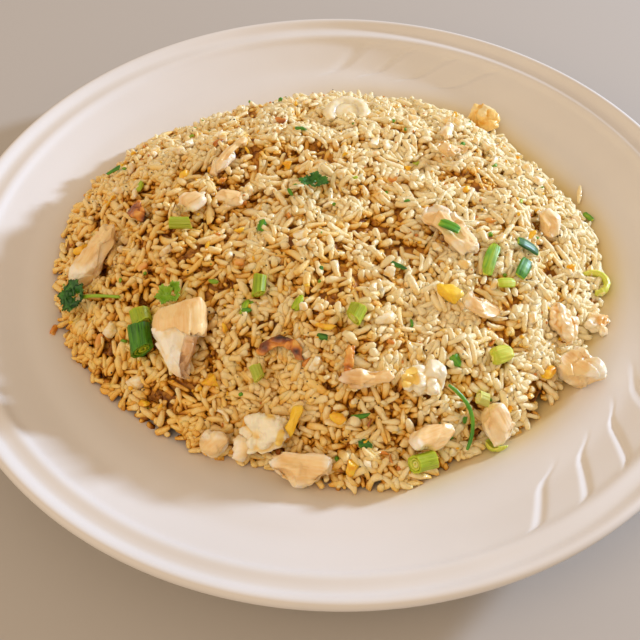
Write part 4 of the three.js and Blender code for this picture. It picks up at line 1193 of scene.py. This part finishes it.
def scatter(count, together, spread):
    """Random places in the layer of grains, in lumps of grains that point nearly the same way."""
    seeds = -(-count // together)
    slope_x, slope_y = skin_slopes
    chance = np.where(on_heap, np.sqrt(1 + slope_x**2 + slope_y**2), 0).ravel()
    cells = random.choice(len(chance), size=seeds, p=chance / chance.sum())
    i, j = np.unravel_index(cells, skin_map.shape)
    x = np.repeat(-MAP_HALF + (i + random.random(seeds) - 0.5) * MAP_STEP, together)[:count]
    y = np.repeat(-MAP_HALF + (j + random.random(seeds) - 0.5) * MAP_STEP, together)[:count]
    x = x + random.normal(0, spread, count)
    y = y + random.normal(0, spread, count)
    low = read_map(floor_map, x, y) + 0.001
    high = np.maximum(read_map(face_map, x, y), low + 0.0005)
    z = low + (high - low) * random.random(count)
    normal = normals_of(skin_slopes, x, y)
    # Two lumps in three are combed one way, and the rest lie criss-cross.
    unlike = np.repeat(random.choice([0.15, 0.75], size=(seeds, 1), p=[0.65, 0.35]), together, axis=0)[:count]
    flat = np.repeat(random.normal(size=(seeds, 3)), together, axis=0)[:count]
    flat /= np.linalg.norm(flat, axis=1)[:, None]
    flat = flat + random.normal(0, 1, (count, 3)) * unlike
    flat -= normal * (flat * normal).sum(1)[:, None]
    flat /= np.linalg.norm(flat, axis=1)[:, None]
    tilt = random.normal(0, math.radians(30), count)[:, None]
    return np.stack([x, y, z], 1), flat * np.cos(tilt) + normal * np.sin(tilt)


def touching(balls, reach):
    """Pairs of balls closer than `reach`, found through a grid of cells that wide."""
    cell = np.floor(balls / reach).astype(np.int64) + 500
    key = (cell[:, 0] * 1000 + cell[:, 1]) * 1000 + cell[:, 2]
    order = np.argsort(key, kind="stable")
    keys = key[order]
    firsts, seconds = [], []
    for dx, dy, dz in np.ndindex(3, 3, 3):
        if (dx, dy, dz) < (1, 1, 1):
            continue
        wanted = key + ((dx - 1) * 1000 + dy - 1) * 1000 + dz - 1
        start = np.searchsorted(keys, wanted, "left")
        found = np.searchsorted(keys, wanted, "right") - start
        first = np.repeat(np.arange(len(balls)), found)
        within = np.arange(len(first)) - np.repeat(np.cumsum(found) - found, found)
        second = order[np.repeat(start, found) + within]
        keep = first < second if (dx, dy, dz) == (1, 1, 1) else np.full(len(first), True)
        firsts.append(first[keep])
        seconds.append(second[keep])
    return np.concatenate(firsts), np.concatenate(seconds)


def settle(centres, axes, lengths, radii, rounds):
    """Lets rod-shaped grains press each other apart, down on to the bed and off the toppings."""
    count = len(centres)
    grain_of = np.repeat(np.arange(count), 4)
    ball_radius = np.repeat(radii, 4)
    half = np.maximum(lengths / 2 - radii * 0.85, 0.0002)
    reach = 2 * radii.max()
    # One lump in four stands a little proud of the rest.
    proud = np.where(grain_of // LUMP % 4 == 0, PROUD_LUMP, 0)
    for turn in range(rounds):
        offsets = BALLS[None, :, None] * half[:, None, None] * axes[:, None, :]
        balls = (centres[:, None, :] + offsets).reshape(-1, 3)
        start = balls.copy()
        first, second = touching(balls, reach)
        apart = grain_of[first] != grain_of[second]
        first, second = first[apart], second[apart]
        gap = balls[first] - balls[second]
        distance = np.maximum(np.linalg.norm(gap, axis=1), 1e-6)
        # Grains of one lump are stuck together and sink into each other further.
        stuck = grain_of[first] // LUMP == grain_of[second] // LUMP
        wanted = np.where(stuck, STUCK_GAP, LOOSE_GAP) * (ball_radius[first] + ball_radius[second])
        overlap = wanted - distance
        hit = overlap > 0
        push = gap[hit] / distance[hit, None] * (0.40 * overlap[hit, None])
        for axis in range(3):
            balls[:, axis] += np.bincount(first[hit], push[:, axis], len(balls))
            balls[:, axis] -= np.bincount(second[hit], push[:, axis], len(balls))
        x, y = balls[:, 0], balls[:, 1]
        normal = normals_of(floor_slopes, x, y)
        balls -= normal * 0.00005
        above = (balls[:, 2] - read_map(floor_map, x, y)) * normal[:, 2]
        balls += normal * np.maximum(ball_radius - above, 0)[:, None]
        over = (balls[:, 2] - read_map(face_map, x, y)) * normal[:, 2] + 0.2 * ball_radius - proud
        balls -= normal * (0.5 * np.maximum(over, 0))[:, None]
        if turn % 3 == 2 or turn > rounds - 3:
            for k in np.flatnonzero(read_map(near_obstacle, x, y) > 0):
                spot, face, _, far = obstacle_tree.find_nearest(Vector(balls[k]), 0.0035)
                if spot is None:
                    continue
                away = Vector(balls[k]) - spot
                inside = away.dot(face) < 0
                if inside or far < 0.85 * ball_radius[k]:
                    away = -away if inside else away
                    away = away.normalized() if away.length > 1e-7 else face
                    balls[k] = spot + away * ball_radius[k] * 0.85
        balls = (start + np.clip(balls - start, -LONGEST_MOVE, LONGEST_MOVE)).reshape(count, 4, 3)
        centres = balls.mean(1)
        axes = np.einsum("k,nkc->nc", BALLS, balls)
        axes /= np.maximum(np.linalg.norm(axes, axis=1), 1e-9)[:, None]
    return centres, axes


def grain_template(blunt, around, rings):
    """One grain, 2 long and 1 thick: a ball whose tips are filled out towards a blunt rod."""
    bpy.ops.mesh.primitive_uv_sphere_add(segments=around, ring_count=rings, radius=1)
    grain = bpy.context.object
    places = vertex_places(grain)[:, [2, 0, 1]]
    girth = np.hypot(places[:, 1], places[:, 2])
    full = (1 - np.abs(places[:, 0]) ** blunt) ** 0.5
    places[:, 1:] *= (0.5 * full / np.maximum(girth, 1e-6))[:, None]
    grain.data.calc_loop_triangles()
    triangles = np.array([tuple(triangle.vertices) for triangle in grain.data.loop_triangles])
    bpy.data.objects.remove(grain)
    return places, triangles


def strewn(name, template, faces, centres, axes, lengths, thicks, bows, tones_with_painted_side_shade):
    """One mesh of grains: each is the template, turned, sized, bowed and chipped in its own way."""
    count = len(centres)
    helper = np.where(np.abs(axes[:, 2:]) < 0.9, np.array([[0, 0, 1.0]]), np.array([[1.0, 0, 0]]))
    side = np.cross(helper, axes)
    side /= np.linalg.norm(side, axis=1)[:, None]
    up = np.cross(axes, side)
    roll = random.random(count)[:, None] * 2 * math.pi
    side, up = side * np.cos(roll) + up * np.sin(roll), up * np.cos(roll) - side * np.sin(roll)
    t = template[None, :, 0]
    taper = 1 + random.normal(0, 0.14, (count, 1)) * t
    waist = 1 + random.normal(0, 0.12, (count, 1)) * np.cos(3.1 * t + 6.3 * random.random((count, 1)))
    flat = random.uniform(0.70, 0.98, (count, 1))
    along = t * lengths[:, None] / 2
    across = template[None, :, 1] * thicks[:, None] * taper * waist
    through = template[None, :, 2] * thicks[:, None] * taper * waist * flat
    # Broken tips are split on the slant.
    slants = random.normal(0, 0.42, (2, count, 1))
    along = along + np.where(t > 0, slants[0], slants[1]) * t**4 * across
    across = across + bows[:, None] * lengths[:, None] * (0.4 - t**2)
    through = through + random.normal(0, 0.07, (count, 1)) * thicks[:, None] * np.sin(2.4 * t)
    places = centres[:, None, :]
    for reach, way in ((along, axes), (across, side), (through, up)):
        places = places + reach[:, :, None] * way[:, None, :]
    places = places.reshape(-1, 3)
    for axis in range(3):
        places[:, axis] += 0.00026 * soft_noise(places, 0.0013, axis)
    places[:, 2] = np.minimum(places[:, 2], HEAP_TOP)
    triangles = faces[None] + (np.arange(count) * len(template))[:, None, None]
    piece = plain_mesh(name, places, triangles.reshape(-1, 3))
    # A grain is cream where it stands free and is painted darker amber deeper in the layer, as shade between the
    # grains.
    depth = (read_map(face_map, places[:, 0], places[:, 1]) - places[:, 2] - 0.0007).clip(0, 0.006)
    # Its upper side is painted palest and its flanks darker, as light from above and shade at its sides.
    lift = (places[:, 2] - np.repeat(centres[:, 2], len(template))) / np.repeat(thicks, len(template))
    tone = np.repeat(tones_with_painted_side_shade, len(template)) + 0.38 * (lift.clip(-0.5, 0.5) - 0.30)
    mark(piece, "tint", (tone - 230 * depth).clip(0, 1))
    return piece


rice_finish = Finish(
    "cooked_rice", Roughness=0.27, Subsurface_Weight=0.6, Subsurface_Scale=0.0007,
    Subsurface_Radius=(1.0, 0.9, 0.8), IOR=1.38, Coat_Weight=0.24, Coat_Roughness=0.07,
    Specular_Tint=(1.0, 0.88, 0.66, 1.0),
)
mottle = rice_finish.grain(0.0016, detail=2)
cloud = rice_finish.grain(0.009, detail=2)
# The ramp's darkest stops are the painted shade deep among the grains.
rice_colour = rice_finish.ramp(
    rice_finish.marked("tint") + (mottle - 0.5) * 0.30 + (cloud - 0.5) * 0.15,
    (0.0, (0.17, 0.045, 0.001)), (0.2, (0.48, 0.18, 0.006)), (0.4, (0.84, 0.45, 0.06)),
    (0.62, (0.96, 0.655, 0.20)), (1.0, (1.0, 0.835, 0.52)),
)
# Here and there the grains are stained by soy and yolk.
stain = rice_finish.step(rice_finish.grain(0.0055), 0.62, 0.72) * 0.5
rice_finish.paint(rice_finish.mix(stain, rice_colour, (0.90, 0.45, 0.03)))
rice_finish.bump(rice_finish.grain(0.0008), 0.9, 0.0005)

names, shares, lengths, thicks, bows, blunts = zip(*GRAIN_KINDS)
kind_of = random.choice(len(names), size=GRAIN_COUNT, p=shares)
grain_lengths = np.array(lengths)[kind_of] * random.normal(1, 0.13, GRAIN_COUNT).clip(0.7, 1.3)
grain_thicks = np.array(thicks)[kind_of] * random.normal(1, 0.10, GRAIN_COUNT).clip(0.75, 1.25)
grain_bows = np.array(bows)[kind_of] * random.normal(1, 0.7, GRAIN_COUNT)
grain_centres, grain_axes = scatter(GRAIN_COUNT, LUMP, 0.0027)
grain_centres, grain_axes = settle(
    grain_centres, grain_axes, grain_lengths, grain_thicks * 0.46, SETTLING_ROUNDS
)

# Grains whose middle or tips have been pushed out past the heap's edge are swept off.
heap_map = blur(heap_share, 1)
held = read_map(heap_map, *grain_centres.T[:2]) > 0.5
for end in (-0.42, 0.42):
    tips = grain_centres + end * grain_lengths[:, None] * grain_axes
    held &= read_map(heap_map, *tips.T[:2]) > 0.05

# The rice is painted darkest at the front left and palest at the back right: painted shade on the side turned from
# the window light.
tones_with_side_shade_by_place = 0.93 + 0.05 * soft_noise(grain_centres, 0.022, 1) + grain_centres[:, :2] @ np.array([2.6, 1.8])
for index, name in enumerate(names):
    chosen = np.flatnonzero((kind_of == index) & held)
    tones_with_painted_side_shade = tones_with_side_shade_by_place[chosen] + random.normal(0, 0.06, len(chosen))
    grains = strewn(
        name, *grain_template(blunts[index], 8, 6), grain_centres[chosen], grain_axes[chosen],
        grain_lengths[chosen], grain_thicks[chosen], grain_bows[chosen], tones_with_painted_side_shade,
    )
    seat(grains, rice_finish, name, "rice")

# Crumbs of rice, stuck to the grains all through the layer.
crumb_centres, crumb_axes = scatter(CRUMB_COUNT, 3, 0.003)
crumb_lengths = random.uniform(0.0016, 0.0038, CRUMB_COUNT)
crumb_centres[:, 2] -= 0.0014
stuck = read_map(heap_map, *crumb_centres.T[:2]) > 0.6
crumb_centres, crumb_axes, crumb_lengths = crumb_centres[stuck], crumb_axes[stuck], crumb_lengths[stuck]
# The crumbs too are painted darker towards the front left, as shade.
tones_with_painted_side_shade = 0.62 + 0.16 * soft_noise(crumb_centres, 0.022, 1) + 1.8 * crumb_centres[:, :2].sum(1)
crumbs = strewn(
    "rice_crumbs", *grain_template(5.0, 6, 5), crumb_centres, crumb_axes, crumb_lengths,
    crumb_lengths * random.uniform(0.55, 1.0, len(tones_with_painted_side_shade)), np.zeros(len(tones_with_painted_side_shade)), tones_with_painted_side_shade,
)
seat(crumbs, rice_finish, "rice_crumbs", "rice")

# The one grain that has rolled off on to the rim.
stray = fine_copy("loose_grain", 0.0003, 5)
mark(stray, "tint", np.full(len(stray.data.vertices), 0.9))
smooth(stray)
seat(stray, rice_finish, "stray_grain", "rice", "loose_grain")


# ----------------------------------------------------------------------------- specks
# Ground pepper, crumbled yolk, browned dust and the finest cuts of green lie on top of the
# grains, each speck at most about two millimetres across.
pepper_finish = Finish("black_pepper", Roughness=0.5)
pepper_finish.paint((0.035, 0.018, 0.008, 1))
SPECKS = (
    # name, finish, slot, how many, smallest and largest, tone
    ("pepper_specks", pepper_finish, "browned", 420, 0.0003, 0.0008, 0.0),
    ("yolk_specks", yolk_finish, "egg_yolk", 130, 0.0007, 0.0018, 0.0),
    ("browned_specks", browned_finish, "browned", 110, 0.0006, 0.0016, 0.25),
    ("green_specks", scallion_finish, "scallion_deep", 46, 0.0008, 0.0020, 0.82),
)

bpy.ops.mesh.primitive_ico_sphere_add(subdivisions=1, radius=0.5)
speck_ball = bpy.context.object
speck_shape = vertex_places(speck_ball)
speck_faces = np.array([tuple(face.vertices) for face in speck_ball.data.polygons])
bpy.data.objects.remove(speck_ball)
grain_tree, _ = face_tree([bpy.data.objects[name] for name in names])
for seed, (name, finish, slot, count, smallest, largest, tone) in enumerate(SPECKS):
    chance = np.random.default_rng(60 + seed)
    spots = chance.uniform(-SCATTER_HALF * MM, SCATTER_HALF * MM, (3 * count, 2))
    spots = spots[read_map(edge_share, spots[:, 0], spots[:, 1]) > 0.7][:count]
    places, triangles = [], []
    for x, y in spots:
        spot = grain_tree.ray_cast(Vector((x, y, 0.2)), Vector((0, 0, -1)))[0]
        if spot is None:
            continue
        stretch = chance.uniform(0.45, 1.2, 3) * chance.uniform(smallest, largest)
        triangles.append(speck_faces + len(places) * len(speck_shape))
        rough = 1 + 0.4 * chance.random((len(speck_shape), 1))
        places.append(np.array(spot) + speck_shape * stretch * rough)
    places = np.concatenate(places)
    places[:, 2] = np.minimum(places[:, 2], HEAP_TOP)
    piece = plain_mesh(name, places, np.concatenate(triangles))
    mark_own(piece, places)
    mark(piece, "green", np.full(len(places), tone))
    mark(piece, "char", tone + 0.2 * chance.random(len(places)))
    seat(piece, finish, name, slot)
